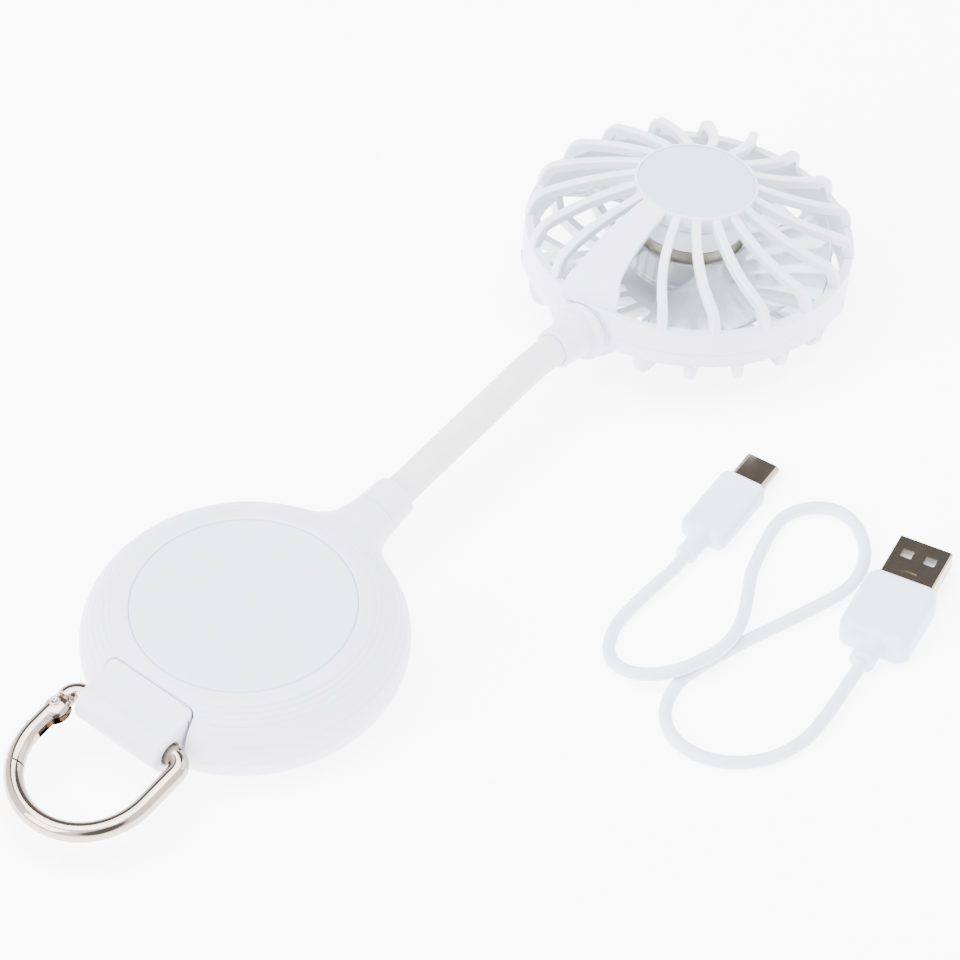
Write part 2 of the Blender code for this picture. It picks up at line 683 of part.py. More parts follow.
def build_base(neck):
    """Build the two shells of the base with their common cuts, and the top panel."""
    outer = [(0.0, BASE_HEIGHT), *edge_arc(BASE_MIDDLE, BASE_HEIGHT, 0.0, EDGE_STEPS), (0.0, 0.0)]
    form = turned("base_form", outer, BASE_SIDES, None)
    sections = []
    for share in BOSS_SECTION_SHARES:
        half_width = BOSS_END_RADIUS + BOSS_FLARE * (1.0 - share) ** BOSS_FLARE_POWER
        half_height = BOSS_END_RADIUS + BOSS_RISE * (1.0 - share ** BOSS_RISE_POWER)
        along = BOSS_START + BOSS_LENGTH * share
        ring = around(BOSS_SIDES, 1.0)
        sections.append([(along, half_width * y, half_height * z) for y, z in ring])
    join(form, lofts("boss_form", [sections], None, neck))

    wall = BASE_MIDDLE - SHELL_WALL
    inner = [(0.0, CEILING), *edge_arc(wall, CEILING, SHELL_WALL, EDGE_STEPS - 2), (0.0, SHELL_WALL)]
    cavity = turned("base_cavity", inner, BASE_SIDES, None)
    pocket_end = CLIP_PLACE + CLIP_REACH + FIT
    backing = CLIP_HALF_WIDTH + POCKET_SIDE_GAP + POCKET_FLARE + POCKET_BACKING
    block = box("pocket_wall", (-BASE_RADIUS - OVERRUN, -backing, POCKET_FLOOR - SHELL_WALL),
                (pocket_end + POCKET_WALL, backing, BASE_HEIGHT), None)
    spots = around(SCREW_COUNT, SCREW_CIRCLE, SCREW_START_DEG)
    posts = cylinders("screw_posts", spots, SCREW_POST_RADIUS, 0.0, BASE_HEIGHT, SMALL_SIDES)
    cut(cavity, block, posts)

    bore = cylinder("neck_bore", NECK_BORE_RADIUS, NECK_ANCHOR_START, BOSS_END + OVERRUN, BOSS_SIDES, None,
                    neck, NOWHERE, ALONG_X)
    inner_half = CLIP_HALF_WIDTH + POCKET_SIDE_GAP
    outer_half = inner_half + POCKET_FLARE
    far = -BASE_RADIUS - OVERRUN
    outline = ((pocket_end, -inner_half), (pocket_end, inner_half), (far, outer_half), (far, -outer_half))
    pocket = plate("clip_pocket", outline, POCKET_FLOOR, BASE_HEIGHT + OVERRUN, None)
    stem_slot = box("stem_slot",
                    (pocket_end - OVERRUN, -CLIP_STEM_HALF_WIDTH - FIT,
                     CLIP_AXIS_HEIGHT - CLIP_STEM_HALF_HEIGHT - FIT),
                    (pocket_end + POCKET_WALL + OVERRUN, CLIP_STEM_HALF_WIDTH + FIT,
                     CLIP_AXIS_HEIGHT + CLIP_STEM_HALF_HEIGHT + FIT), None)

    reach = BASE_RADIUS + BOSS_LENGTH + OVERRUN
    top = box("base_top_shell", (-reach, -reach, BASE_MIDDLE + FIT / 2.0),
              (reach, reach, BASE_HEIGHT + OVERRUN), WHITE)
    boolean(top, form, "INTERSECT")
    recess = cylinder("panel_recess", PANEL_RADIUS + FIT, PANEL_FLOOR, BASE_HEIGHT + OVERRUN, BASE_SIDES,
                      None)
    seats = cylinders("screw_seats", spots, SCREW_HEAD_RADIUS + FIT, PANEL_FLOOR - SCREW_SEAT_DEPTH,
                      BASE_HEIGHT, SMALL_SIDES)
    holes = cylinders("screw_holes", spots, SCREW_SHANK_RADIUS + FIT, SCREW_TIP_HEIGHT - FIT, BASE_HEIGHT,
                      SMALL_SIDES)
    port_low = BOARD_TOP
    port_hole = box("port_hole", (-PORT_WIDTH / 2.0 - FIT, BASE_FLAT_RADIUS, port_low),
                    (PORT_WIDTH / 2.0 + FIT, BASE_RADIUS + OVERRUN, port_low + PORT_HEIGHT + 2.0 * FIT), None)
    cut(top, cavity, bore, pocket, stem_slot, recess, seats, holes, port_hole)

    bottom = box("base_bottom_shell", (-reach, -reach, -OVERRUN), (reach, reach, BASE_MIDDLE - FIT / 2.0),
                 WHITE)
    boolean(bottom, form, "INTERSECT")
    button_hole = cylinder("button_hole", BUTTON_RADIUS + FIT, -OVERRUN, SHELL_WALL + OVERRUN, HUB_SIDES,
                           None,
                           None, (BUTTON_PLACE, 0.0, 0.0))
    lens_hole = cylinder("lens_hole", LENS_RADIUS + FIT, -OVERRUN, SHELL_WALL + OVERRUN, SMALL_SIDES, None,
                         None, (LENS_PLACE, 0.0, 0.0))
    cut(bottom, cavity, bore, pocket, holes, button_hole, lens_hole, port_hole)

    face = [(0.0, BASE_HEIGHT), (PANEL_RADIUS - PANEL_EDGE, BASE_HEIGHT),
            (PANEL_RADIUS, BASE_HEIGHT - PANEL_EDGE),
            (PANEL_RADIUS, PANEL_FLOOR + FIT), (0.0, PANEL_FLOOR + FIT)]
    turned("top_panel", face, BASE_SIDES, WHITE)


def build_base_screws():
    """Build the screws that hold the two shells together."""
    seat = PANEL_FLOOR - SCREW_SEAT_DEPTH + FIT
    profile = [(0.0, seat + SCREW_HEAD_HEIGHT), (SCREW_HEAD_RADIUS, seat + SCREW_HEAD_HEIGHT),
               (SCREW_HEAD_RADIUS, seat), (SCREW_SHANK_RADIUS, seat), (SCREW_SHANK_RADIUS, SCREW_TIP_HEIGHT),
               (0.0, SCREW_TIP_HEIGHT)]
    for index, (x, y) in enumerate(around(SCREW_COUNT, SCREW_CIRCLE, SCREW_START_DEG)):
        turned(f"base_screw_{index + 1}", profile, SMALL_SIDES, STEEL, None, (x, y, 0.0))


def build_electronics():
    """Build the battery, the board with its port and switch, the button and the indicator."""
    outline = rounded_rectangle((-BATTERY_HALF_LENGTH, -BATTERY_HALF_WIDTH),
                                (BATTERY_HALF_LENGTH, BATTERY_HALF_WIDTH), BATTERY_CORNER)
    plate("battery_cell", outline, BATTERY_BOTTOM, BATTERY_TOP, STEEL)

    side = math.degrees(math.asin(BOARD_TAB_HALF_WIDTH / BOARD_RADIUS))
    rim = arc((0.0, 0.0), BOARD_RADIUS, 90.0 + side, 450.0 - side, BASE_SIDES // 2)
    tab = [(BOARD_TAB_HALF_WIDTH, BOARD_TAB_REACH), (-BOARD_TAB_HALF_WIDTH, BOARD_TAB_REACH)]
    plate("control_board", rim + tab, BOARD_BOTTOM, BOARD_TOP, GREEN)

    outer_end = BASE_RADIUS - PORT_RECESS
    low = BOARD_TOP + FIT
    half = PORT_WIDTH / 2.0
    shell = box("charging_port", (-half, outer_end - PORT_DEPTH, low), (half, outer_end, low + PORT_HEIGHT),
                STEEL)
    cut(shell, box("port_mouth", (PORT_WALL - half, outer_end - PORT_DEPTH + 2.0 * PORT_WALL,
                                  low + PORT_WALL),
                   (half - PORT_WALL, outer_end + OVERRUN, low + PORT_HEIGHT - PORT_WALL), None))

    cap_top = SHELL_WALL + FIT
    flange_top = cap_top + BUTTON_FLANGE_HEIGHT
    pip_top = flange_top + BUTTON_PIP_HEIGHT
    button_flange_radius = BUTTON_RADIUS + BUTTON_FLANGE
    profile = [(0.0, pip_top), (BUTTON_PIP_RADIUS, pip_top), (BUTTON_PIP_RADIUS, flange_top),
               (button_flange_radius, flange_top), (button_flange_radius, cap_top), (BUTTON_RADIUS, cap_top),
               (BUTTON_RADIUS, 2.0 * FIT), (BUTTON_RADIUS - FIT, FIT), (0.0, FIT)]
    button = frame_at("button_frame", (BUTTON_PLACE, 0.0, 0.0))
    turned("power_button", profile, HUB_SIDES, WARM_WHITE, button)

    stem_bottom = pip_top + BUTTON_TRAVEL + SWITCH_SPARE
    half = SWITCH_SIZE / 2.0
    body = box("tact_switch", (BUTTON_PLACE - half, -half, stem_bottom + SWITCH_STEM_HEIGHT),
               (BUTTON_PLACE + half, half, BOARD_BOTTOM - FIT), BLACK)
    join(body, cylinder("switch_stem", SWITCH_STEM_RADIUS, stem_bottom, BOARD_BOTTOM - 2.0 * FIT,
                        SMALL_SIDES, None,
                        None, (BUTTON_PLACE, 0.0, 0.0)))
    cylinder("indicator_lens", LENS_RADIUS, FIT, LENS_HEIGHT, SMALL_SIDES, CLEAR, None,
             (LENS_PLACE, 0.0, 0.0))


def build_neck(neck, joints):
    """Build the base's collar, the fixed ends of the neck's core and its links."""
    profile = [(NECK_BORE_RADIUS, COLLAR_MOUTH), (COLLAR_MOUTH_RADIUS - COLLAR_EDGE, COLLAR_MOUTH),
               (COLLAR_MOUTH_RADIUS, COLLAR_MOUTH - COLLAR_EDGE), (COLLAR_ROOT_RADIUS, BOSS_END + FIT),
               (NECK_BORE_RADIUS, BOSS_END + FIT)]
    turned("base_collar", profile, BOSS_SIDES, WHITE, neck, NOWHERE, ALONG_X)

    ball_lip = math.degrees(math.asin(LINK_GAP / 2.0 / BALL_RADIUS))
    cup_lip = math.degrees(math.asin(LINK_GAP / 2.0 / CUP_RADIUS))
    ball = [(max(x, 0.0), z) for x, z in arc((0.0, 0.0), BALL_RADIUS, ball_lip, -90.0, BALL_STEPS)]
    ball[-1] = (0.0, -BALL_RADIUS)
    cup = [(x, z) for x, z in arc((0.0, 0.0), CUP_RADIUS, -90.0, -cup_lip, BALL_STEPS)]
    cup[0] = (0.0, -CUP_RADIUS)
    near = LINK_GAP / 2.0
    far = LINK_PITCH - near

    fixed = FIRST_JOINT - near
    anchor = [(x, FIRST_JOINT + z) for x, z in cup]
    anchor += [(NECK_RADIUS - LINK_EDGE, fixed), (NECK_RADIUS, fixed - LINK_EDGE),
               (NECK_RADIUS, NECK_ANCHOR_START + NECK_FLANGE_THICKNESS),
               (NECK_FLANGE_RADIUS, NECK_ANCHOR_START + NECK_FLANGE_THICKNESS),
               (NECK_FLANGE_RADIUS, NECK_ANCHOR_START), (0.0, NECK_ANCHOR_START)]
    turned("neck_anchor", anchor, LINK_SIDES, SOFT_WHITE, neck, NOWHERE, ALONG_X)

    link = [(x, LINK_PITCH + z) for x, z in cup]
    link += [(NECK_RADIUS - LINK_EDGE, far), (NECK_RADIUS, far - LINK_EDGE),
             (NECK_RADIUS, near + LINK_EDGE), (NECK_RADIUS - LINK_EDGE, near)]
    link += ball
    for index, joint in enumerate(joints[:-1]):
        turned(f"neck_link_{index + 1}", link, LINK_SIDES, SOFT_WHITE, joint, NOWHERE, ALONG_X)

    end = LINK_LEAD + HEAD_COLLAR_REACH - HEAD_INNER_RADIUS
    end_anchor = [(0.0, end), (NECK_RADIUS, end), (NECK_RADIUS, near + LINK_EDGE),
                  (NECK_RADIUS - LINK_EDGE, near)]
    end_anchor += ball
    turned("neck_head_anchor", end_anchor, LINK_SIDES, SOFT_WHITE, joints[-1], NOWHERE, ALONG_X)


def rib_sections(stations, centre_deg, across):
    """List the sections of one rib from (radius, turn, half width, top, bottom) stations."""
    sections = []
    for radius, turn_deg, half_width, top, bottom in stations:
        spread = half_width / radius
        angles = [math.radians(centre_deg + turn_deg) + spread * (2.0 * step / (across - 1) - 1.0)
                  for step in range(across)]
        upper = [(radius * math.cos(angle), radius * math.sin(angle), top) for angle in angles]
        lower = [(radius * math.cos(angle), radius * math.sin(angle), bottom) for angle in reversed(angles)]
        sections.append(upper + lower)
    return sections


def rib_stations(side, top_at_hub, top_at_shoulder, depth, wall_edge, sweep_deg, root_half, end_half):
    """List a rib's stations from the hub to the ring; side is 1 for the rear and -1 for the front."""
    root = HUB_RADIUS - RIB_ROOT_OVERLAP
    wall = HEAD_RADIUS - FIT / 2.0
    run = RIB_SHOULDER_RADIUS - root
    places = []
    for share in RIB_STATION_SHARES:
        places.append((root + run * share, top_at_hub + (top_at_shoulder - top_at_hub) * share, depth))
    for run_share, fall_share in RIB_SHOULDER_SHARES:
        radius = RIB_SHOULDER_RADIUS + (wall - RIB_SHOULDER_RADIUS) * run_share
        top = top_at_shoulder + (wall_edge - top_at_shoulder) * fall_share
        places.append((radius, top, (top - wall_edge) * side + RIB_WALL_OVERLAP))
    stations = []
    for radius, top, thickness in places:
        share = (radius - root) / (wall - root)
        turn = sweep_deg * share ** RIB_SWEEP_POWER
        stations.append((radius, turn, root_half + (end_half - root_half) * share, top,
                         top - side * thickness))
    return stations


def build_grilles(head):
    """Build the rear and front grilles, with the boss that takes the neck, and their hub plates."""
    reach = HEAD_COLLAR_REACH + OVERRUN
    boss_start = HEAD_RADIUS - HEAD_BOSS_DEPTH
    axis = (0.0, 0.0, -HEAD_COLLAR_DROP)
    boss = cylinder("head_boss", HEAD_BOSS_RADIUS, boss_start, HEAD_RADIUS + FIT / 2.0, BOSS_SIDES, None,
                    head,
                    axis, AGAINST_X)
    bore = cylinder("head_neck_bore", NECK_BORE_RADIUS, boss_start - OVERRUN, reach, BOSS_SIDES, None, head,
                    axis, AGAINST_X)
    deep = REAR_HUB_TOP + HEAD_RADIUS
    below = box("rear_side_cut", (-reach, -reach, -deep), (reach, reach, HEAD_PARTING + FIT / 2.0), None,
                head)
    above = box("front_side_cut", (-reach, -reach, HEAD_PARTING - FIT / 2.0), (reach, reach, deep), None,
                head)

    ring = [(HEAD_INNER_RADIUS, HEAD_REAR_EDGE), (HEAD_RADIUS - HEAD_EDGE_ROUND, HEAD_REAR_EDGE),
            (HEAD_RADIUS, HEAD_REAR_EDGE - HEAD_EDGE_ROUND), (HEAD_RADIUS, HEAD_PARTING - OVERRUN),
            (HEAD_INNER_RADIUS, HEAD_PARTING - OVERRUN)]
    rear = turned("rear_grille", ring, HEAD_SIDES, WHITE, head)
    stations = rib_stations(1.0, REAR_RIB_TOP_AT_HUB, REAR_RIB_TOP_AT_SHOULDER, RIB_DEPTH, HEAD_REAR_EDGE,
                            RIB_SWEEP_DEG, RIB_WIDTH / 2.0, RIB_WIDTH / 2.0)
    ribs = [rib_sections(stations, REAR_RIB_START_DEG + REAR_RIB_PITCH_DEG * index, 2)
            for index in range(REAR_RIB_COUNT)]
    wide = rib_stations(1.0, REAR_RIB_TOP_AT_HUB, REAR_RIB_TOP_AT_SHOULDER, RIB_DEPTH, HEAD_REAR_EDGE,
                        WIDE_RIB_SWEEP_DEG, WIDE_RIB_ROOT_HALF_WIDTH, WIDE_RIB_END_HALF_WIDTH)
    ribs.append(rib_sections(wide, WIDE_RIB_DEG, 4))
    rear_floor = REAR_HUB_TOP - HUB_PLATE_INSET - HUB_PLATE_THICKNESS - FIT
    rear_bottom = REAR_HUB_TOP - REAR_HUB_DEPTH
    rim = HUB_PLATE_RADIUS + FIT
    hub = turned("rear_hub", [(0.0, rear_floor), (rim, rear_floor), (rim, REAR_HUB_TOP),
                              (HUB_RADIUS - HUB_RIM_ROUND, REAR_HUB_TOP), (HUB_RADIUS,
                                                                           REAR_HUB_TOP - HUB_RIM_ROUND),
                              (HUB_RADIUS, rear_bottom), (0.0, rear_bottom)], HUB_SIDES, None, head)
    spots = around(MOTOR_SCREW_COUNT, MOTOR_SCREW_CIRCLE)
    seats = cylinders("motor_screw_seats", spots, MOTOR_SCREW_HEAD_RADIUS + FIT,
                      rear_floor - MOTOR_SCREW_SEAT_DEPTH, REAR_HUB_TOP, SMALL_SIDES, head)
    holes = cylinders("motor_screw_holes", spots, MOTOR_SCREW_SHANK_RADIUS + FIT,
                      CUP_TOP - MOTOR_SCREW_BITE - FIT, REAR_HUB_TOP, SMALL_SIDES, head)
    join(rear, boss, hub, lofts("rear_ribs", ribs, None, head))
    cut(rear, below, bore, seats, holes)

    ring = [(HEAD_INNER_RADIUS, HEAD_PARTING + OVERRUN), (HEAD_RADIUS, HEAD_PARTING + OVERRUN),
            (HEAD_RADIUS, HEAD_FRONT_EDGE + HEAD_EDGE_ROUND), (HEAD_RADIUS - HEAD_EDGE_ROUND,
                                                               HEAD_FRONT_EDGE),
            (HEAD_INNER_RADIUS, HEAD_FRONT_EDGE)]
    front = turned("front_grille", ring, HEAD_SIDES, WHITE, head)
    stations = rib_stations(-1.0, FRONT_RIB_TOP_AT_HUB, FRONT_RIB_TOP_AT_SHOULDER, FRONT_RIB_DEPTH,
                            HEAD_FRONT_EDGE,
                            -RIB_SWEEP_DEG, RIB_WIDTH / 2.0, RIB_WIDTH / 2.0)
    pitch = 360.0 / FRONT_RIB_COUNT
    ribs = [rib_sections(stations, FRONT_RIB_START_DEG + pitch * index,
                         2) for index in range(FRONT_RIB_COUNT)]
    front_floor = FRONT_HUB_TOP + HUB_PLATE_INSET + HUB_PLATE_THICKNESS + FIT
    front_back = FRONT_HUB_TOP + FRONT_HUB_DEPTH
    hub = turned("front_hub", [(0.0, front_back), (HUB_RADIUS, front_back),
                               (HUB_RADIUS, FRONT_HUB_TOP + HUB_RIM_ROUND), (HUB_RADIUS - HUB_RIM_ROUND,
                                                                             FRONT_HUB_TOP),
                               (rim, FRONT_HUB_TOP), (rim, front_floor), (0.0,
                                                                          front_floor)], HUB_SIDES, None, head)
    join(front, boss, hub, lofts("front_ribs", ribs, None, head))
    cut(front, above, bore)

    rear_plate = REAR_HUB_TOP - HUB_PLATE_INSET
    turned("rear_hub_plate", [(0.0, rear_plate), (HUB_PLATE_RADIUS, rear_plate),
                              (HUB_PLATE_RADIUS, rear_plate - HUB_PLATE_THICKNESS),
                              (0.0, rear_plate - HUB_PLATE_THICKNESS)], HUB_SIDES, WARM_WHITE, head)
    front_plate = FRONT_HUB_TOP + HUB_PLATE_INSET
    turned("front_hub_plate", [(0.0, front_plate + HUB_PLATE_THICKNESS),
                               (HUB_PLATE_RADIUS, front_plate + HUB_PLATE_THICKNESS),
                               (HUB_PLATE_RADIUS, front_plate), (0.0,
                                                                 front_plate)], HUB_SIDES, WARM_WHITE, head)

    mouth = HEAD_COLLAR_REACH
    profile = [(NECK_BORE_RADIUS, mouth), (HEAD_COLLAR_MOUTH_RADIUS - COLLAR_EDGE, mouth),
               (HEAD_COLLAR_MOUTH_RADIUS, mouth - COLLAR_EDGE),
               (HEAD_COLLAR_ROOT_RADIUS, HEAD_FLANGE_FRONT + COLLAR_EDGE),
               (HEAD_COLLAR_ROOT_RADIUS + COLLAR_EDGE, HEAD_FLANGE_FRONT),
               (HEAD_FLANGE_RADIUS - COLLAR_EDGE, HEAD_FLANGE_FRONT),
               (HEAD_FLANGE_RADIUS, HEAD_FLANGE_FRONT - COLLAR_EDGE), (HEAD_FLANGE_RADIUS, HEAD_FLANGE_BACK),
               (NECK_BORE_RADIUS, HEAD_FLANGE_BACK)]
    turned("head_collar", profile, BOSS_SIDES, WHITE, head, axis, AGAINST_X)


def build_motor(head):
    """Build the fixed half of the motor and the screws that hold it."""
    tube_end = CUP_BOTTOM - MOTOR_TUBE_LENGTH
    bore = BUSH_RADIUS + FIT
    roof = CUP_TOP - MOTOR_CUP_ROOF
    ceiling = CUP_TOP - MOTOR_CUP_FLOOR
    skirt = MOTOR_CUP_RADIUS - MOTOR_CUP_WALL
    profile = [(0.0, CUP_TOP), (MOTOR_CUP_RADIUS, CUP_TOP), (MOTOR_CUP_RADIUS, CUP_BOTTOM),
               (skirt, CUP_BOTTOM),
               (skirt, ceiling), (MOTOR_TUBE_RADIUS, ceiling), (MOTOR_TUBE_RADIUS, tube_end), (bore,
                                                                                               tube_end),
               (bore, roof), (0.0, roof)]
    cup = turned("motor_cup", profile, MOTOR_SIDES, WHITE, head)
    spots = around(MOTOR_SCREW_COUNT, MOTOR_SCREW_CIRCLE)
    cut(cup, cylinders("motor_cup_holes", spots, MOTOR_SCREW_SHANK_RADIUS + FIT,
                       CUP_TOP - MOTOR_SCREW_BITE - FIT, REAR_HUB_TOP, SMALL_SIDES, head))

    shaft_bore = SHAFT_RADIUS + FIT
    bush_top = roof - BUSH_END_GAP
    bush_end = tube_end + FIT
    turned("motor_bush", [(shaft_bore, bush_top), (BUSH_RADIUS, bush_top), (BUSH_RADIUS, bush_end),
                          (shaft_bore, bush_end)], SMALL_SIDES, BRONZE, head)

    teeth = []
    step = 360.0 / STATOR_TOOTH_COUNT
    for index in range(STATOR_TOOTH_COUNT):
        half = step * STATOR_TOOTH_SHARE / 2.0
        teeth += arc((0.0, 0.0), STATOR_RADIUS, step * index - half, step * index + half, CORNER_STEPS)
        teeth += arc((0.0, 0.0), STATOR_RADIUS * STATOR_CORE_SHARE, step * index + half,
                     step * (index + 1) - half, 1)
    hole = MOTOR_TUBE_RADIUS + FIT
    stator = plate("stator", teeth, STATOR_TOP - STATOR_LENGTH, STATOR_TOP, COPPER, head)
    cut(stator, cylinder("stator_bore", hole, STATOR_TOP - STATOR_LENGTH - OVERRUN, STATOR_TOP + OVERRUN,
                         SMALL_SIDES, None, head))
    board_top = STATOR_TOP + FIT + MOTOR_BOARD_THICKNESS
    turned("motor_board", [(hole, board_top), (MOTOR_BOARD_RADIUS, board_top),
                           (MOTOR_BOARD_RADIUS, STATOR_TOP + FIT),
                           (hole, STATOR_TOP + FIT)], SMALL_SIDES, GREEN, head)

    floor = REAR_HUB_TOP - HUB_PLATE_INSET - HUB_PLATE_THICKNESS - FIT
    seat = floor - MOTOR_SCREW_SEAT_DEPTH + FIT
    tip = CUP_TOP - MOTOR_SCREW_BITE
    profile = [(0.0, seat + MOTOR_SCREW_HEAD_HEIGHT),
               (MOTOR_SCREW_HEAD_RADIUS, seat + MOTOR_SCREW_HEAD_HEIGHT),
               (MOTOR_SCREW_HEAD_RADIUS, seat), (MOTOR_SCREW_SHANK_RADIUS, seat), (MOTOR_SCREW_SHANK_RADIUS,
                                                                                   tip),
               (0.0, tip)]
    for index, (x, y) in enumerate(spots):
        turned(f"motor_screw_{index + 1}", profile, SMALL_SIDES, STEEL, head, (x, y, 0.0))


def build_impeller(spin):
    """Build everything that turns with the impeller."""
    inner = CAN_RADIUS - CAN_WALL
    turned("rotor_can", [(0.0, CAN_FRONT + CAN_FACE), (inner, CAN_FRONT + CAN_FACE), (inner, CAN_TOP),
                         (CAN_RADIUS, CAN_TOP), (CAN_RADIUS, CAN_FRONT), (0.0,
                                                                          CAN_FRONT)], MOTOR_SIDES, STEEL, spin)
    outer = inner - FIT
    top = CAN_TOP - MAGNET_INSET
    turned("ring_magnet", [(outer - MAGNET_THICKNESS, top), (outer, top), (outer, top - MAGNET_LENGTH),
                           (outer - MAGNET_THICKNESS, top - MAGNET_LENGTH)], MOTOR_SIDES, DARK_STEEL, spin)
    roof = CUP_TOP - MOTOR_CUP_ROOF
    cylinder("motor_shaft", SHAFT_RADIUS, CAN_FRONT + CAN_FACE + FIT, roof - 2.0 * BUSH_END_GAP,
             SMALL_SIDES, STEEL,
             spin)

    inner = CAN_RADIUS + FIT
    face = CAN_FRONT - FIT
    front = face - IMPELLER_FACE
    profile = [(0.0, face), (inner, face), (inner, IMPELLER_HUB_TOP), (IMPELLER_HUB_RADIUS, IMPELLER_HUB_TOP),
               (IMPELLER_HUB_RADIUS, front + IMPELLER_EDGE), (IMPELLER_HUB_RADIUS - IMPELLER_EDGE, front),
               (0.0, front)]
    impeller = turned("impeller", profile, HUB_SIDES, CLEAR, spin)
    root = IMPELLER_HUB_RADIUS - BLADE_ROOT_OVERLAP
    blades = []
    for index in range(BLADE_COUNT):
        sections = []
        for share in BLADE_STATION_SHARES:
            radius = root + (BLADE_TIP_RADIUS - root) * share
            centre = 360.0 / BLADE_COUNT * index + BLADE_SWEEP_DEG * share
            spread = BLADE_ROOT_HALF_DEG + (BLADE_TIP_HALF_DEG - BLADE_ROOT_HALF_DEG) * share
            rise = BLADE_ROOT_HALF_HEIGHT + (BLADE_TIP_HALF_HEIGHT - BLADE_ROOT_HALF_HEIGHT) * share
            upper = []
            for chord in BLADE_CHORD_SHARES:
                angle = math.radians(centre + spread * chord)
                height = rise * math.sin(math.pi / 2.0 * chord)
                upper.append((radius * math.cos(angle), radius * math.sin(angle),
                              height + BLADE_THICKNESS / 2.0))
            lower = [(x, y, z - BLADE_THICKNESS) for x, y, z in reversed(upper)]
            sections.append(upper + lower)
        blades.append(sections)
    join(impeller, lofts("blades", blades, None, spin))


def build_clip():
    """Build the loop at the base's edge that carries the snap hook."""
    corner = CLIP_EDGE
    outline = arc((0.0, 0.0), CLIP_RADIUS, 90.0, 270.0, EDGE_STEPS)
    outline += [(CLIP_REACH - corner, -CLIP_RADIUS), (CLIP_REACH, corner - CLIP_RADIUS),
                (CLIP_REACH, CLIP_RADIUS + CLIP_RISE - corner), (CLIP_REACH - corner,
                                                                 CLIP_RADIUS + CLIP_RISE)]
    frame = frame_at("clip_frame", (CLIP_PLACE, 0.0, CLIP_AXIS_HEIGHT))
    loop = plate("clip_loop", outline, -CLIP_HALF_WIDTH, CLIP_HALF_WIDTH, WHITE, frame, NOWHERE,
                 (math.pi / 2.0, 0.0, 0.0))
    bevel(loop, CLIP_EDGE)
    stem_end = CLIP_REACH + FIT + POCKET_WALL + FIT
    stem = box("clip_stem", (CLIP_REACH - OVERRUN, -CLIP_STEM_HALF_WIDTH, -CLIP_STEM_HALF_HEIGHT),
               (stem_end + CLIP_HEAD_THICKNESS / 2.0, CLIP_STEM_HALF_WIDTH,
                CLIP_STEM_HALF_HEIGHT), None, frame)
    head = box("clip_head", (stem_end, -CLIP_HEAD_HALF_WIDTH, -2.0 * CLIP_STEM_HALF_HEIGHT),
               (stem_end + CLIP_HEAD_THICKNESS, CLIP_HEAD_HALF_WIDTH,
                2.0 * CLIP_STEM_HALF_HEIGHT), None, frame)
    join(loop, stem, head)
    cut(loop, cylinder("clip_channel", CLIP_CHANNEL_RADIUS, -CLIP_HALF_WIDTH - OVERRUN,
                       CLIP_HALF_WIDTH + OVERRUN,
                       BOSS_SIDES, None, frame, NOWHERE, ALONG_Y))


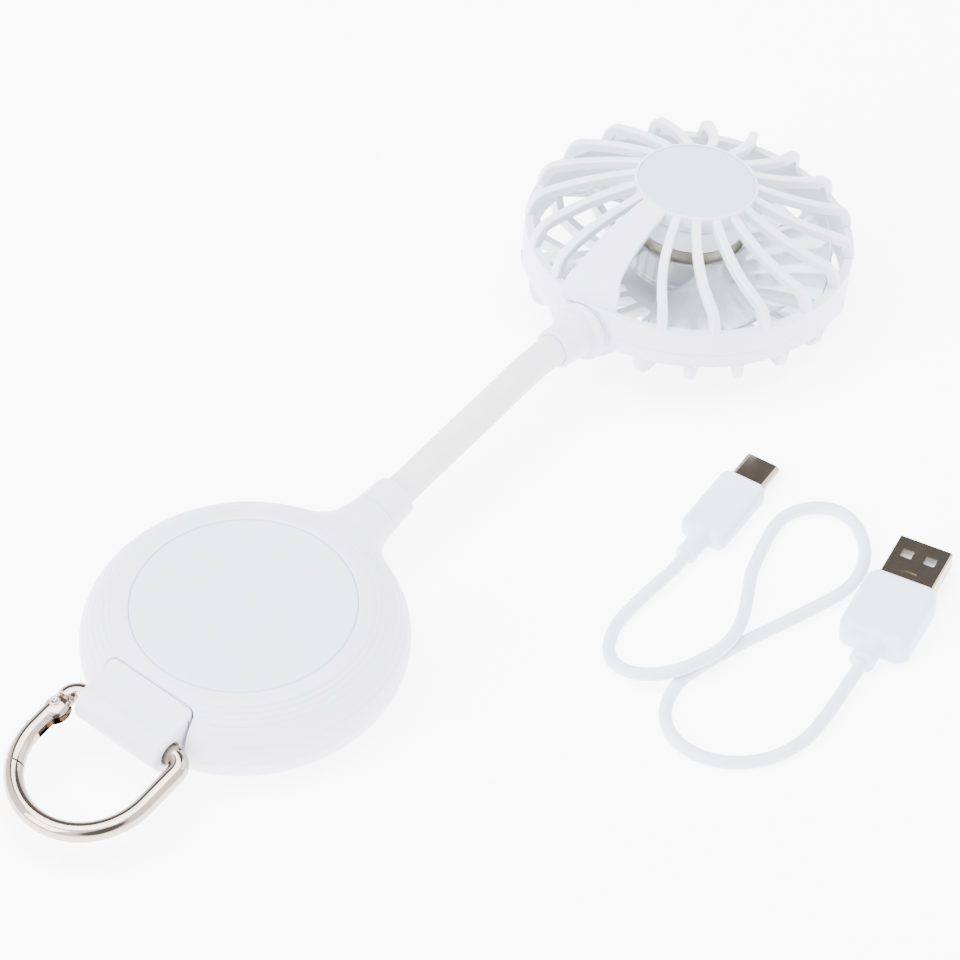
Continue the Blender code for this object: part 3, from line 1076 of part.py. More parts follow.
def build_hook():
    """Build the snap hook: its wire body, its gate and the pin and spring of the gate."""
    frame = frame_at("hook_frame", (CLIP_PLACE, 0.0, CLIP_AXIS_HEIGHT), (0.0, math.pi - HOOK_SLOPE, 0.0))
    corner = HOOK_CORNER_RADIUS
    bar = HOOK_HALF_WIDTH - corner
    middle = corner + HOOK_SIDE_LENGTH
    pin = (GATE_PIN_PLACE, HOOK_HALF_WIDTH)
    neck_end = GATE_PIN_PLACE - HOOK_WIRE_RADIUS - GATE_BACK_GAP
    cheek = HOOK_WIRE_RADIUS

    path = arc((middle, 0.0), HOOK_HALF_WIDTH, GATE_NOSE_DEG + GATE_NOSE_LAP_DEG, -90.0, HOOK_ARC_STEPS)
    path += arc((corner, -bar), corner, 270.0, 180.0, CORNER_STEPS + 1)
    path += [(0.0, bar * (2.0 * step / HOOK_BAR_STEPS - 1.0)) for step in range(1, HOOK_BAR_STEPS)]
    path += arc((corner, bar), corner, 180.0, 90.0, CORNER_STEPS + 1)
    path[-1] = (neck_end, HOOK_HALF_WIDTH)
    body = tube("snap_hook_body", [(x, y, 0.0) for x, y in path], HOOK_WIRE_RADIUS, 2, NICKEL, frame)
    tongue_half = GATE_TONGUE_HALF_THICKNESS
    tongue = plate("hook_tongue", rounded_rectangle((neck_end - corner / 2.0, HOOK_HALF_WIDTH - cheek / 2.0),
                                                    (GATE_PIN_PLACE + cheek / 2.0,
                                                     HOOK_HALF_WIDTH + cheek / 2.0),
                                                    cheek / 4.0), -tongue_half, tongue_half, None, frame)
    eye = cylinder("hook_eye", cheek, -tongue_half, tongue_half, BOSS_SIDES, None, frame, (*pin, 0.0))
    pin_hole = cylinder("gate_pin_hole", GATE_PIN_RADIUS + FIT, -corner, corner, SMALL_SIDES, None, frame,
                        (*pin, 0.0))
    nose_x = middle + HOOK_HALF_WIDTH * math.cos(math.radians(GATE_NOSE_DEG)) - GATE_PIN_PLACE
    nose_y = HOOK_HALF_WIDTH * (math.sin(math.radians(GATE_NOSE_DEG)) - 1.0)
    nose_reach = math.hypot(nose_x, nose_y)
    nose_deg = math.degrees(math.atan2(nose_y, nose_x))
    spread = (nose_deg - GATE_NOSE_SPREAD_DEG, nose_deg + GATE_NOSE_SPREAD_DEG)
    inside = arc((0.0, 0.0), nose_reach + GATE_NOSE_GAP, *spread, CORNER_STEPS * 2)
    inside += arc((0.0, 0.0), nose_reach - 2.0 * HOOK_WIRE_RADIUS, *reversed(spread), CORNER_STEPS)
    nose_cut = plate("hook_nose_cut", inside, -corner, corner, None, frame, (*pin, 0.0))
    join(tongue, eye)
    join(body, tongue)
    cut(body, pin_hole, nose_cut)

    gate = frame_at("gate_frame", (*pin, 0.0), NO_TURN, frame)
    run = [(GATE_PIN_PLACE + HOOK_SIDE_LENGTH * share, HOOK_HALF_WIDTH) for share in (0.0, 0.35)]
    run += arc((middle, 0.0), HOOK_HALF_WIDTH, 90.0, GATE_NOSE_DEG - GATE_NOSE_LAP_DEG, CORNER_STEPS * 2)
    points = [(x - pin[0], y - pin[1], 0.0) for x, y in run]
    arm = tube("snap_hook_gate", points, HOOK_WIRE_RADIUS, 2, NICKEL, gate)
    join(arm, cylinder("gate_cheeks", cheek, -GATE_CHEEK_HALF_HEIGHT, GATE_CHEEK_HALF_HEIGHT, BOSS_SIDES,
                       None, gate))
    slot_half = tongue_half + FIT
    slot_end = GATE_SLOT_REACH - GATE_PIN_PLACE
    fork = box("gate_fork", (-corner, -corner, -slot_half), (slot_end, corner, slot_half), None, gate)
    channel_end = slot_end + SPRING_LENGTH + FIT
    channel = box("gate_channel", (0.0, -corner, -slot_half), (channel_end, SPRING_RADIUS + FIT, slot_half),
                  None,
                  gate)
    local_hole = cylinder("gate_cheek_hole", GATE_PIN_RADIUS + FIT, -corner, corner, SMALL_SIDES, None, gate)
    outside = arc((0.0, 0.0), nose_reach + 2.0 * HOOK_WIRE_RADIUS, *spread, CORNER_STEPS)
    outside += arc((0.0, 0.0), nose_reach, *reversed(spread), CORNER_STEPS * 2)
    cut(arm, fork, channel, local_hole, plate("gate_nose_cut", outside, -corner, corner, None, gate))
    cylinder("gate_pin", GATE_PIN_RADIUS, -GATE_PIN_HALF_LENGTH, GATE_PIN_HALF_LENGTH, SMALL_SIDES, STEEL,
             frame,
             (*pin, 0.0))
    cylinder("gate_spring", SPRING_RADIUS, slot_end, slot_end + SPRING_LENGTH, SMALL_SIDES, STEEL, gate,
             NOWHERE,
             ALONG_X)


def build_plug(name, frame, grip, shell, core, relief):
    """Build one plug of the lead: a grip with its strain relief, a metal shell and the core inside it."""
    length, width, height, corner, edge = grip
    outline = rounded_rectangle((0.0, -width / 2.0), (length, width / 2.0), corner)
    body = plate(f"{name}_plug_grip", outline, -height / 2.0, height / 2.0, WHITE, frame)
    bevel(body, edge)
    relief_length, root_radius, end_radius = relief
    join(body, cylinder(f"{name}_relief", root_radius, -RELIEF_OVERLAP, relief_length, BOSS_SIDES, None,
                        frame,
                        NOWHERE, AGAINST_X, end_radius))
    shell_width, shell_height, reach, wall = shell
    root = length - PLUG_SOCKET_DEPTH
    cut(body, box(f"{name}_socket", (root, -shell_width / 2.0 - FIT, -shell_height / 2.0 - FIT),
                  (length + OVERRUN, shell_width / 2.0 + FIT, shell_height / 2.0 + FIT), None, frame))

    tip = length + reach
    start = root + FIT
    round_end = shell_height / 2.0 if name == "slim" else wall
    half_width = shell_width / 2.0
    half_height = shell_height / 2.0
    outline = rounded_rectangle((-half_width, -half_height), (half_width, half_height), round_end)
    inner_half_width = half_width - wall
    inner_half_height = half_height - wall
    inner_round = max(round_end - wall, wall / 2.0)
    inner = rounded_rectangle((-inner_half_width, -inner_half_height), (inner_half_width, inner_half_height),
                              inner_round)
    across = frame_at(f"{name}_shell_frame", NOWHERE, (math.pi / 2.0, 0.0, math.pi / 2.0), frame)
    sleeve = plate(f"{name}_plug_shell", outline, start, tip, NICKEL, across)
    back = start + 2.0 * wall
    cut(sleeve, plate(f"{name}_mouth", inner, back, tip + OVERRUN, None, across))
    core_width, core_height, lift = core
    box(f"{name}_plug_core", (back + FIT, -core_width / 2.0, lift - core_height / 2.0),
        (tip - 2.0 * wall, core_width / 2.0, lift + core_height / 2.0), WARM_WHITE, frame)
    return sleeve


def catmull_rom(points, steps):
    """Run a smooth curve through the points."""
    padded = [2.0 * points[0] - points[1], *points, 2.0 * points[-1] - points[-2]]
    curve = []
    for before, start, end, after in zip(padded, padded[1:], padded[2:], padded[3:]):
        for step in range(steps):
            t = step / steps
            curve.append(0.5 * (2.0 * start + (end - before) * t
                                + (2.0 * before - 5.0 * start + 4.0 * end - after) * t * t
                                + (3.0 * start - before - 3.0 * end + after) * t ** 3))
    curve.append(points[-1])
    return curve


def evenly(curve, spans):
    """Read evenly spaced points from a dense curve."""
    lengths = [0.0]
    for start, end in zip(curve, curve[1:]):
        lengths.append(lengths[-1] + (end - start).length)
    points = []
    index = 0
    for step in range(spans + 1):
        wanted = lengths[-1] * step / spans
        while index < len(curve) - 2 and lengths[index + 1] < wanted:
            index += 1
        share = (wanted - lengths[index]) / (lengths[index + 1] - lengths[index])
        points.append(curve[index].lerp(curve[index + 1], share))
    return points


def plug_axis(place_xy, turn_deg, height):
    """Give a plug's origin, and the way that its lead leaves it."""
    turn = math.radians(turn_deg)
    return Vector((*place_xy, height)), Vector((-math.cos(turn), -math.sin(turn), 0.0))


def build_lead():
    """Build the charging lead: two plugs and the cord that lies between them."""
    slim_height = SLIM_GRIP_HEIGHT / 2.0 + PLUG_REST_GAP
    wide_height = WIDE_GRIP_HEIGHT / 2.0 + PLUG_REST_GAP
    slim_origin, slim_way = plug_axis(SLIM_PLACE, SLIM_TURN_DEG, slim_height)
    wide_origin, wide_way = plug_axis(WIDE_PLACE, WIDE_TURN_DEG, wide_height)
    slim_frame = frame_at("slim_plug_frame", slim_origin, (0.0, 0.0, math.radians(SLIM_TURN_DEG)))
    wide_frame = frame_at("wide_plug_frame", wide_origin, (0.0, 0.0, math.radians(WIDE_TURN_DEG)))

    build_plug("slim", slim_frame,
               (SLIM_GRIP_LENGTH, SLIM_GRIP_WIDTH, SLIM_GRIP_HEIGHT, SLIM_GRIP_CORNER, SLIM_GRIP_EDGE),
               (SLIM_SHELL_WIDTH, SLIM_SHELL_HEIGHT, SLIM_SHELL_REACH, SLIM_SHELL_WALL),
               (SLIM_CORE_WIDTH, SLIM_CORE_HEIGHT, 0.0),
               (SLIM_RELIEF_LENGTH, SLIM_RELIEF_ROOT, SLIM_RELIEF_END))
    lift = (WIDE_SHELL_HEIGHT - WIDE_CORE_HEIGHT) / 2.0 - WIDE_SHELL_WALL - FIT
    sleeve = build_plug("wide", wide_frame,
                        (WIDE_GRIP_LENGTH, WIDE_GRIP_WIDTH, WIDE_GRIP_HEIGHT, WIDE_GRIP_CORNER,
                         WIDE_GRIP_EDGE),
                        (WIDE_SHELL_WIDTH, WIDE_SHELL_HEIGHT, WIDE_SHELL_REACH, WIDE_SHELL_WALL),
                        (WIDE_CORE_WIDTH, WIDE_CORE_HEIGHT, -lift),
                        (WIDE_RELIEF_LENGTH, WIDE_RELIEF_ROOT, WIDE_RELIEF_END))
    start = WIDE_GRIP_LENGTH + WIDE_HOLE_PLACE
    for side, label in ((-1.0, "right"), (1.0, "left")):
        middle = side * WIDE_HOLE_SPREAD
        cut(sleeve, box(f"latch_hole_{label}", (start, middle - WIDE_HOLE_WIDTH / 2.0, -WIDE_SHELL_HEIGHT),
                        (start + WIDE_HOLE_LENGTH, middle + WIDE_HOLE_WIDTH / 2.0, WIDE_SHELL_HEIGHT), None,
                        wide_frame))

    slim_end = slim_origin + slim_way * (SLIM_RELIEF_LENGTH + FIT)
    wide_end = wide_origin + wide_way * (WIDE_RELIEF_LENGTH + FIT)
    route = [slim_end, slim_end + slim_way * CORD_LEAD]
    route += [Vector(point) for point in CORD_POINTS]
    route += [wide_end + wide_way * CORD_LEAD, wide_end]
    points = evenly(catmull_rom(route, CORD_SPLINE_STEPS), CORD_SPANS)
    tube("lead_cord", points, CORD_DIAMETER / 2.0, 2, SOFT_WHITE)


def main():
    """Build the whole fan."""
    slope = math.radians(NECK_SLOPE_DEG)
    neck = frame_at("neck_frame", (0.0, 0.0, NECK_ROOT_HEIGHT), (0.0, -slope, 0.0))
    build_base(neck)
    build_base_screws()
    build_electronics()
    build_clip()
    build_hook()

    slopes = [NECK_SLOPE_DEG] * (LINK_COUNT - 1) + [LAST_LINK_SLOPE_DEG, HEAD_SLOPE_DEG]
    spot = Vector((0.0, 0.0, NECK_ROOT_HEIGHT)) + FIRST_JOINT * Vector((math.cos(slope), 0.0,
                                                                        math.sin(slope)))
    joints = []
    for index, slope_deg in enumerate(slopes):
        slope = math.radians(slope_deg)
        joints.append(frame_at(f"neck_joint_{index + 1}", spot, (0.0, -slope, 0.0)))
        if index < LINK_COUNT:
            spot = spot + LINK_PITCH * Vector((math.cos(slope), 0.0, math.sin(slope)))
    build_neck(neck, joints)

    along = Vector((math.cos(slope), 0.0, math.sin(slope)))
    up = Vector((-math.sin(slope), 0.0, math.cos(slope)))
    centre = spot + along * (LINK_LEAD + HEAD_COLLAR_REACH) + up * HEAD_COLLAR_DROP
    head = frame_at("head_frame", centre, (0.0, -slope, 0.0))
    build_grilles(head)
    build_motor(head)
    build_impeller(frame_at("impeller_frame", NOWHERE, NO_TURN, head))
    build_lead()
    print("head centre", tuple(round(value, 6) for value in centre))
    for index, joint in enumerate(joints):
        print("neck joint", index + 1, tuple(round(value, 6) for value in joint.location))


main()
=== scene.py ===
"""Looks of a portable fan that lies beside its loose charging lead.

A round battery base carries a bendable neck, a caged fan head sits at the neck's end, and a snap hook hangs
in a loop at the base's edge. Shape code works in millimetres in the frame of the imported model, and Skin turns
the points into metres.
"""

import logging
import math
from dataclasses import dataclass, field
from enum import Enum
from typing import Callable, Iterable, Optional, Sequence

import bmesh
import bpy
import numpy as np
from mathutils import Matrix, Vector


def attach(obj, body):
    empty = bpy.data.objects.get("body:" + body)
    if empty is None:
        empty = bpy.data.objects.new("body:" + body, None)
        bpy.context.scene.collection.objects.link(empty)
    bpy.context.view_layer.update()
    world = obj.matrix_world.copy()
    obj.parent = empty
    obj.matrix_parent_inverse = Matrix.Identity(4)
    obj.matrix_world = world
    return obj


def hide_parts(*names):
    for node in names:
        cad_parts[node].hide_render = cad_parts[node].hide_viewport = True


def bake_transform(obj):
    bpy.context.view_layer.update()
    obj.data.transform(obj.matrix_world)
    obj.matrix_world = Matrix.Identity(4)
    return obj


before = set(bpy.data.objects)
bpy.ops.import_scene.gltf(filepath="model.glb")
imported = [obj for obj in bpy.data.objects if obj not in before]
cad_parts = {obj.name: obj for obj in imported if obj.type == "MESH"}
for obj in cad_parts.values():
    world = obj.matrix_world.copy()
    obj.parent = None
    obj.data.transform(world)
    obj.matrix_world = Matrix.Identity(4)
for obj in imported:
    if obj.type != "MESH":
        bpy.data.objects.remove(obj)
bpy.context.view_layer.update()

LOG = logging.getLogger("portable_fan")
MM = 0.001

Pair = tuple[float, float]
Colour = tuple[float, float, float]
Outline = tuple[Pair, ...]
Piece = bpy.types.Object
Socket = bpy.types.NodeSocket


def axes_at(origin: Sequence[float], slope_deg: float) -> Matrix:
    """Give local axes that lie in the XZ plane, with local X raised by a slope.

    Args:
        origin: Place of the local origin, in millimetres.
        slope_deg: Rise of local X above the floor.

    Returns:
        The matrix from local to shared coordinates.
    """
    return Matrix.Translation(Vector(origin)) @ Matrix.Rotation(-math.radians(slope_deg), 4, "Y")


NECK_ROOT = (0.0, 0.0, 9.2)
NECK_SLOPE_DEG = 6.0
HEAD_MIDDLE = (144.751, 0.0, 14.990)
HEAD_SLOPE_DEG = -6.9
NECK_BELOW_HEAD = Matrix.Translation((0.0, 0.0, -2.5))
HOOK_BAR = (-34.0, 0.0, 12.5)
HOOK_DROOP_DEG = 9.4
FACE_WEIGHT = 80
TINY = 1e-6

LEVEL = Matrix.Identity(4)
NECK_AXES = axes_at(NECK_ROOT, NECK_SLOPE_DEG)
HEAD_AXES = axes_at(HEAD_MIDDLE, HEAD_SLOPE_DEG)
HEAD_NECK_AXES = HEAD_AXES @ NECK_BELOW_HEAD @ Matrix.Rotation(math.pi, 4, "Z")
HOOK_AXES = Matrix.Translation(HOOK_BAR) @ Matrix.Rotation(math.radians(180.0 - HOOK_DROOP_DEG), 4, "Y")
ALONG_X = Matrix.Rotation(math.pi / 2.0, 4, "Y")
ALONG_Y = Matrix.Rotation(-math.pi / 2.0, 4, "X")


class Body(Enum):
    """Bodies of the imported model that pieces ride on."""

    BASE = "base"
    BUTTON = "power_button"
    HEAD = "head"
    IMPELLER = "impeller"
    HOOK = "snap_hook"
    GATE = "snap_gate"
    LEAD = "charging_lead"


class Slot(Enum):
    """Material slots of the record."""

    SHELL = "shell_white"
    HUB_PLATE = "hub_plate_white"
    SOFT = "soft_white"
    CLEAR = "clear_plastic"
    NICKEL = "nickel"
    STEEL = "steel"


class Axis(Enum):
    """Axes that an outline can run along, each with the order of (along, side, up) in a point."""

    X = (0, 1, 2)
    Y = (1, 0, 2)
    Z = (1, 2, 0)


class Cut(Enum):
    """What carving does with the second body."""

    TAKE_OUT = "DIFFERENCE"
    JOIN = "UNION"


# Small calculations


def ease(value: float, start: float, end: float) -> float:
    """Rise smoothly from 0 to 1 between two values.

    Args:
        value: Where to read the rise.
        start: Value where it leaves 0.
        end: Value where it reaches 1.

    Returns:
        The eased share.
    """
    share = min(max((value - start) / (end - start), 0.0), 1.0)
    return share * share * (3.0 - 2.0 * share)


def spread(start: float, end: float, steps: int) -> list[float]:
    """List evenly spaced values, both ends included.

    Args:
        start: First value.
        end: Last value.
        steps: Number of gaps between values.

    Returns:
        The values.
    """
    return [start + (end - start) * step / steps for step in range(steps + 1)]


def arc(centre: Pair, radius: float, start_deg: float, end_deg: float, steps: int) -> list[Pair]:
    """List the points of a flat arc.

    Args:
        centre: Middle of the arc.
        radius: Distance of the points from the middle.
        start_deg: Angle of the first point.
        end_deg: Angle of the last point.
        steps: Number of gaps between points.

    Returns:
        The points, both ends included.
    """
    angles = [math.radians(angle) for angle in spread(start_deg, end_deg, steps)]
    return [(centre[0] + radius * math.cos(angle), centre[1] + radius * math.sin(angle)) for angle in angles]


def circle(radius: float, sides: int) -> list[Pair]:
    """List the points of a circle about the middle, each of them once."""
    return arc((0.0, 0.0), radius, 0.0, 360.0, sides)[:-1]


def rounded(corners: Sequence[Pair], radii: Sequence[float], closed: bool = False,
            steps: int = 5) -> list[Pair]:
    """Round the corners of a flat outline.

    Args:
        corners: Corner points in order.
        radii: Radius for each corner, 0 for a sharp one.
        closed: True if the last corner joins the first.
        steps: Gaps between points along each rounded corner.

    Returns:
        The rounded outline.
    """
    outline: list[Pair] = []
    count = len(corners)
    for index, (corner, radius) in enumerate(zip(corners, radii)):
        inner = closed or 0 < index < count - 1
        if radius <= 0.0 or not inner:
            outline.append(tuple(corner))
            continue
        here = Vector(corner)
        back = Vector(corners[index - 1]) - here
        ahead = Vector(corners[(index + 1) % count]) - here
        half = back.angle(ahead) / 2.0
        run = min(radius / math.tan(half), back.length * 0.5, ahead.length * 0.5)
        radius = run * math.tan(half)
        middle = here + (back.normalized() + ahead.normalized()).normalized() * (radius / math.sin(half))
        first = here + back.normalized() * run - middle
        last = here + ahead.normalized() * run - middle
        turn = first.angle_signed(last)
        for share in spread(0.0, 1.0, steps):
            spoke = first.copy()
            spoke.rotate(Matrix.Rotation(-turn * share, 2))
            outline.append(tuple(middle + spoke))
    return outline


def resampled(outline: Sequence[Pair], count: int) -> list[Pair]:
    """Space the points of a closed outline evenly.

    Args:
        outline: Points of the outline.
        count: Number of points wanted.

    Returns:
        The evenly spaced outline, from the same first point.
    """
    points = np.array([*outline, outline[0]], float)
    lengths = np.concatenate([[0.0], np.cumsum(np.linalg.norm(np.diff(points, axis=0), axis=1))])
    wanted = np.linspace(0.0, lengths[-1], count, endpoint=False)
    return list(zip(np.interp(wanted, lengths, points[:, 0]), np.interp(wanted, lengths, points[:, 1])))


def inset(outline: Sequence[Pair], distance: float) -> list[Pair]:
    """Move a closed anticlockwise outline inwards.

    Args:
        outline: Points of the outline.
        distance: How far in; a negative distance moves it out.

    Returns:
        The moved outline, with the same number of points.
    """
    points = np.array(outline, float)
    along = np.roll(points, -1, axis=0) - np.roll(points, 1, axis=0)
    along /= np.maximum(np.linalg.norm(along, axis=1), 1e-9)[:, None]
    moved = points + np.stack([-along[:, 1], along[:, 0]], axis=1) * distance
    return [tuple(point) for point in moved]


def mirrored(profile: Sequence[Pair]) -> list[Pair]:
    """Give a profile's points in reverse, with their heights turned over."""
    return [(radius, -height) for radius, height in reversed(profile)]


def quarter(steps: int) -> list[float]:
    """List the turns of a quarter circle, both ends included."""
    return spread(0.0, math.pi / 2.0, steps)


def rounded_box_section(half_width: float, half_height: float, radius: float, steps: int = 5) -> list[Pair]:
    """List the outline of a rectangle with round corners about its middle.

    Args:
        half_width: Half of the width.
        half_height: Half of the height.
        radius: Radius of the corners.
        steps: Gaps between points along each corner.

    Returns:
        The outline, anticlockwise.
    """
    corners = [(half_width, half_height), (-half_width, half_height), (-half_width, -half_height),
               (half_width, -half_height)]
    return rounded(corners, [radius] * 4, True, steps)


def smooth_path(points: Sequence[Vector], steps: int) -> list[Vector]:
    """Run a smooth curve through a row of points.

    Args:
        points: Points that the curve passes through.
        steps: Number of parts between two points.

    Returns:
        The dense curve.
    """
    padded = [2.0 * points[0] - points[1], *points, 2.0 * points[-1] - points[-2]]
    curve = []
    for before, start, end, after in zip(padded, padded[1:], padded[2:], padded[3:]):
        for step in range(steps):
            t = step / steps
            curve.append(0.5 * (2.0 * start + (end - before) * t
                                + (2.0 * before - 5.0 * start + 4.0 * end - after) * t * t
                                + (3.0 * start - before - 3.0 * end + after) * t ** 3))
    curve.append(points[-1])
    return curve


# Making and placing pieces


class Skin:
    """A surface that is put together from rows of points, in millimetres."""

    def __init__(self) -> None:
        """Start with an empty cage."""
        self.cage = bmesh.new()

    def row(self, points: Iterable[Sequence[float]]) -> list[bmesh.types.BMVert]:
        """Add one row of points."""
        return [self.cage.verts.new(Vector(point)) for point in points]

    def bridge(self, low: Sequence[bmesh.types.BMVert], high: Sequence[bmesh.types.BMVert]) -> None:
        """Join two closed rows with faces; a row of one point gets a fan.

        Args:
            low: First row.
            high: Second row.
        """
        count = max(len(low), len(high))
        for index in range(count):
            after = (index + 1) % count
            corners = [low[index % len(low)], low[after % len(low)],
                       high[after % len(high)], high[index % len(high)]]
            corners = list(dict.fromkeys(corners))
            if len(corners) > 2:
                self.cage.faces.new(corners)

    def loft(self, rows: Sequence[Sequence[Sequence[float]]], capped: bool = True,
             looped: bool = False) -> None:
        """Skin a row of closed sections.

        Args:
            rows: Sections with the same number of points, or single points.
            capped: True to close both ends with a face.
            looped: True if the last section joins the first.
        """
        made = [self.row(points) for points in rows]
        for low, high in zip(made, made[1:]):
            self.bridge(low, high)
        if looped:
            self.bridge(made[-1], made[0])
        elif capped:
            for end in (made[0][::-1], made[-1]):
                if len(end) > 2:
                    self.cage.faces.new(end)

    def turn(self, profile: Sequence[Pair], sides: int, looped: bool = False,
             axes: Matrix = LEVEL) -> None:
        """Turn a profile of (radius, height) points about the local Z axis.

        Args:
            profile: Points of the profile in order.
            sides: Number of sides all the way round.
            looped: True if the profile closes on itself, as a ring's does.
            axes: Local axes of the turned body.
        """
        rows = []
        for radius, height in profile:
            if radius < TINY:
                rows.append([axes @ Vector((0.0, 0.0, height))])
            else:
                rows.append([axes @ Vector((x, y, height)) for x, y in circle(radius, sides)])
        self.loft(rows, capped=False, looped=looped)

    def bar(self, outline: Sequence[Pair], stations: Sequence[Pair], axis: Axis = Axis.X,
            lift: float = 0.0) -> None:
        """Run an outline along an axis.

        Args:
            outline: Outline across the axis, as (side, up) pairs.
            stations: Places along the axis, each with how far in the outline is set there.
            axis: The axis.
            lift: Length that is added to the outline's second values.
        """
        rows = []
        for along, depth in stations:
            points = [(along, side, up + lift) for side, up in inset(outline, depth)]
            rows.append([[point[index] for index in axis.value] for point in points])
        self.loft(rows)

    def sweep(self, path: Sequence[Vector], outlines: Sequence[Sequence[Pair]], up: Vector) -> None:
        """Skin a row of outlines along a path.

        Args:
            path: Points of the path.
            outlines: The outline at each of them, as (side, up) pairs.
            up: Direction that the outlines' second values follow.
        """
        rows = []
        for index, (point, outline) in enumerate(zip(path, outlines)):
            along = (path[min(index + 1, len(path) - 1)] - path[max(index - 1, 0)]).normalized()
            side = along.cross(up).normalized()
            rise = side.cross(along).normalized()
            rows.append([point + side * x + rise * y for x, y in outline])
        self.loft(rows)

    def piece(self, name: str, axes: Matrix = LEVEL, crease_deg: float = 42.0,
              level_normals: bool = True) -> Piece:
        """Turn the cage into an object in the shared frame.

        Args:
            name: Name of the piece.
            axes: Local axes that the points were given in.
            crease_deg: Edges sharper than this stay crisp.
            level_normals: True to keep large flat faces evenly shaded.

        Returns:
            The object.
        """
        self.cage.transform(Matrix.Scale(MM, 4) @ axes)
        bmesh.ops.recalc_face_normals(self.cage, faces=self.cage.faces)
        mesh = bpy.data.meshes.new(name)
        self.cage.to_mesh(mesh)
        self.cage.free()
        obj = bpy.data.objects.new(name, mesh)
        bpy.context.scene.collection.objects.link(obj)
        shade(obj, crease_deg, level_normals)
        return obj


def shade(obj: Piece, crease_deg: float, level_normals: bool) -> None:
    """Shade a piece smoothly between its crisp edges.

    Args:
        obj: The piece.
        crease_deg: Edges sharper than this stay crisp.
        level_normals: True to keep large flat faces evenly shaded.
    """
    obj.data.shade_smooth()
    obj.data.set_sharp_from_angle(angle=math.radians(crease_deg))
    if level_normals:
        weighted = obj.modifiers.new("even_shading", "WEIGHTED_NORMAL")
        weighted.keep_sharp = True
        weighted.weight = FACE_WEIGHT


def carve(target: Piece, cutters: Sequence[Piece], operation: Cut = Cut.TAKE_OUT,
          crease_deg: float = 42.0) -> Piece:
    """Cut bodies out of a piece or join them to it, and remove the bodies.

    Args:
        target: Piece that is cut.
        cutters: Closed bodies.
        operation: What is done with the bodies.
        crease_deg: Edges sharper than this stay crisp afterwards.

    Returns:
        The piece, with its mesh replaced.
    """
    level_normals = len(target.modifiers) > 0
    target.modifiers.clear()
    for cutter in cutters:
        cutter.modifiers.clear()
        cut = target.modifiers.new("cut", "BOOLEAN")
        cut.operation = operation.value
        cut.solver = "EXACT"
        cut.object = cutter
    bpy.context.view_layer.update()
    graph = bpy.context.evaluated_depsgraph_get()
    mesh = bpy.data.meshes.new_from_object(target.evaluated_get(graph))
    target.modifiers.clear()
    old = target.data
    target.data = mesh
    mesh.name = old.name
    bpy.data.meshes.remove(old)
    for cutter in cutters:
        data = cutter.data
        bpy.data.objects.remove(cutter, do_unlink=True)
        bpy.data.meshes.remove(data)
    shade(target, crease_deg, level_normals)
    return target


def block(name: str, low: Sequence[float], high: Sequence[float], axes: Matrix = LEVEL) -> Piece:
    """Make a cutter with flat sides between two corners.

    Args:
        name: Name of the cutter.
        low: Lowest corner, in millimetres.
        high: Highest corner.
        axes: Local axes of the corners.

    Returns:
        The cutter.
    """
    skin = Skin()
    outline = [(low[0], low[1]), (high[0], low[1]), (high[0], high[1]), (low[0], high[1])]
    skin.bar(outline, [(low[2], 0.0), (high[2], 0.0)], Axis.Z)
    return skin.piece(name, axes, level_normals=False)


def place(obj: Piece, finish: "Finish", body: Body, slot: Slot,
          nodes: Sequence[str] = ()) -> Piece:
    """Dress a piece, put it on its body and hide the solids that it stands for.

    Args:
        obj: The piece.
        finish: Finish of its surface.
        body: Body that it rides on.
        slot: Material slot of the record; not used.
        nodes: Solids that it stands for.

    Returns:
        The piece.
    """
    obj.data.materials.clear()
    obj.data.materials.append(finish.material())
    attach(obj, body.value)
    if nodes:
        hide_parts(*nodes)
    count = len(obj.data.polygons) if obj.type == "MESH" else len(obj.data.splines[0].points)
    LOG.info("%s: %d faces, %s finish", obj.name, count, finish.name)
    return obj


# Finishes


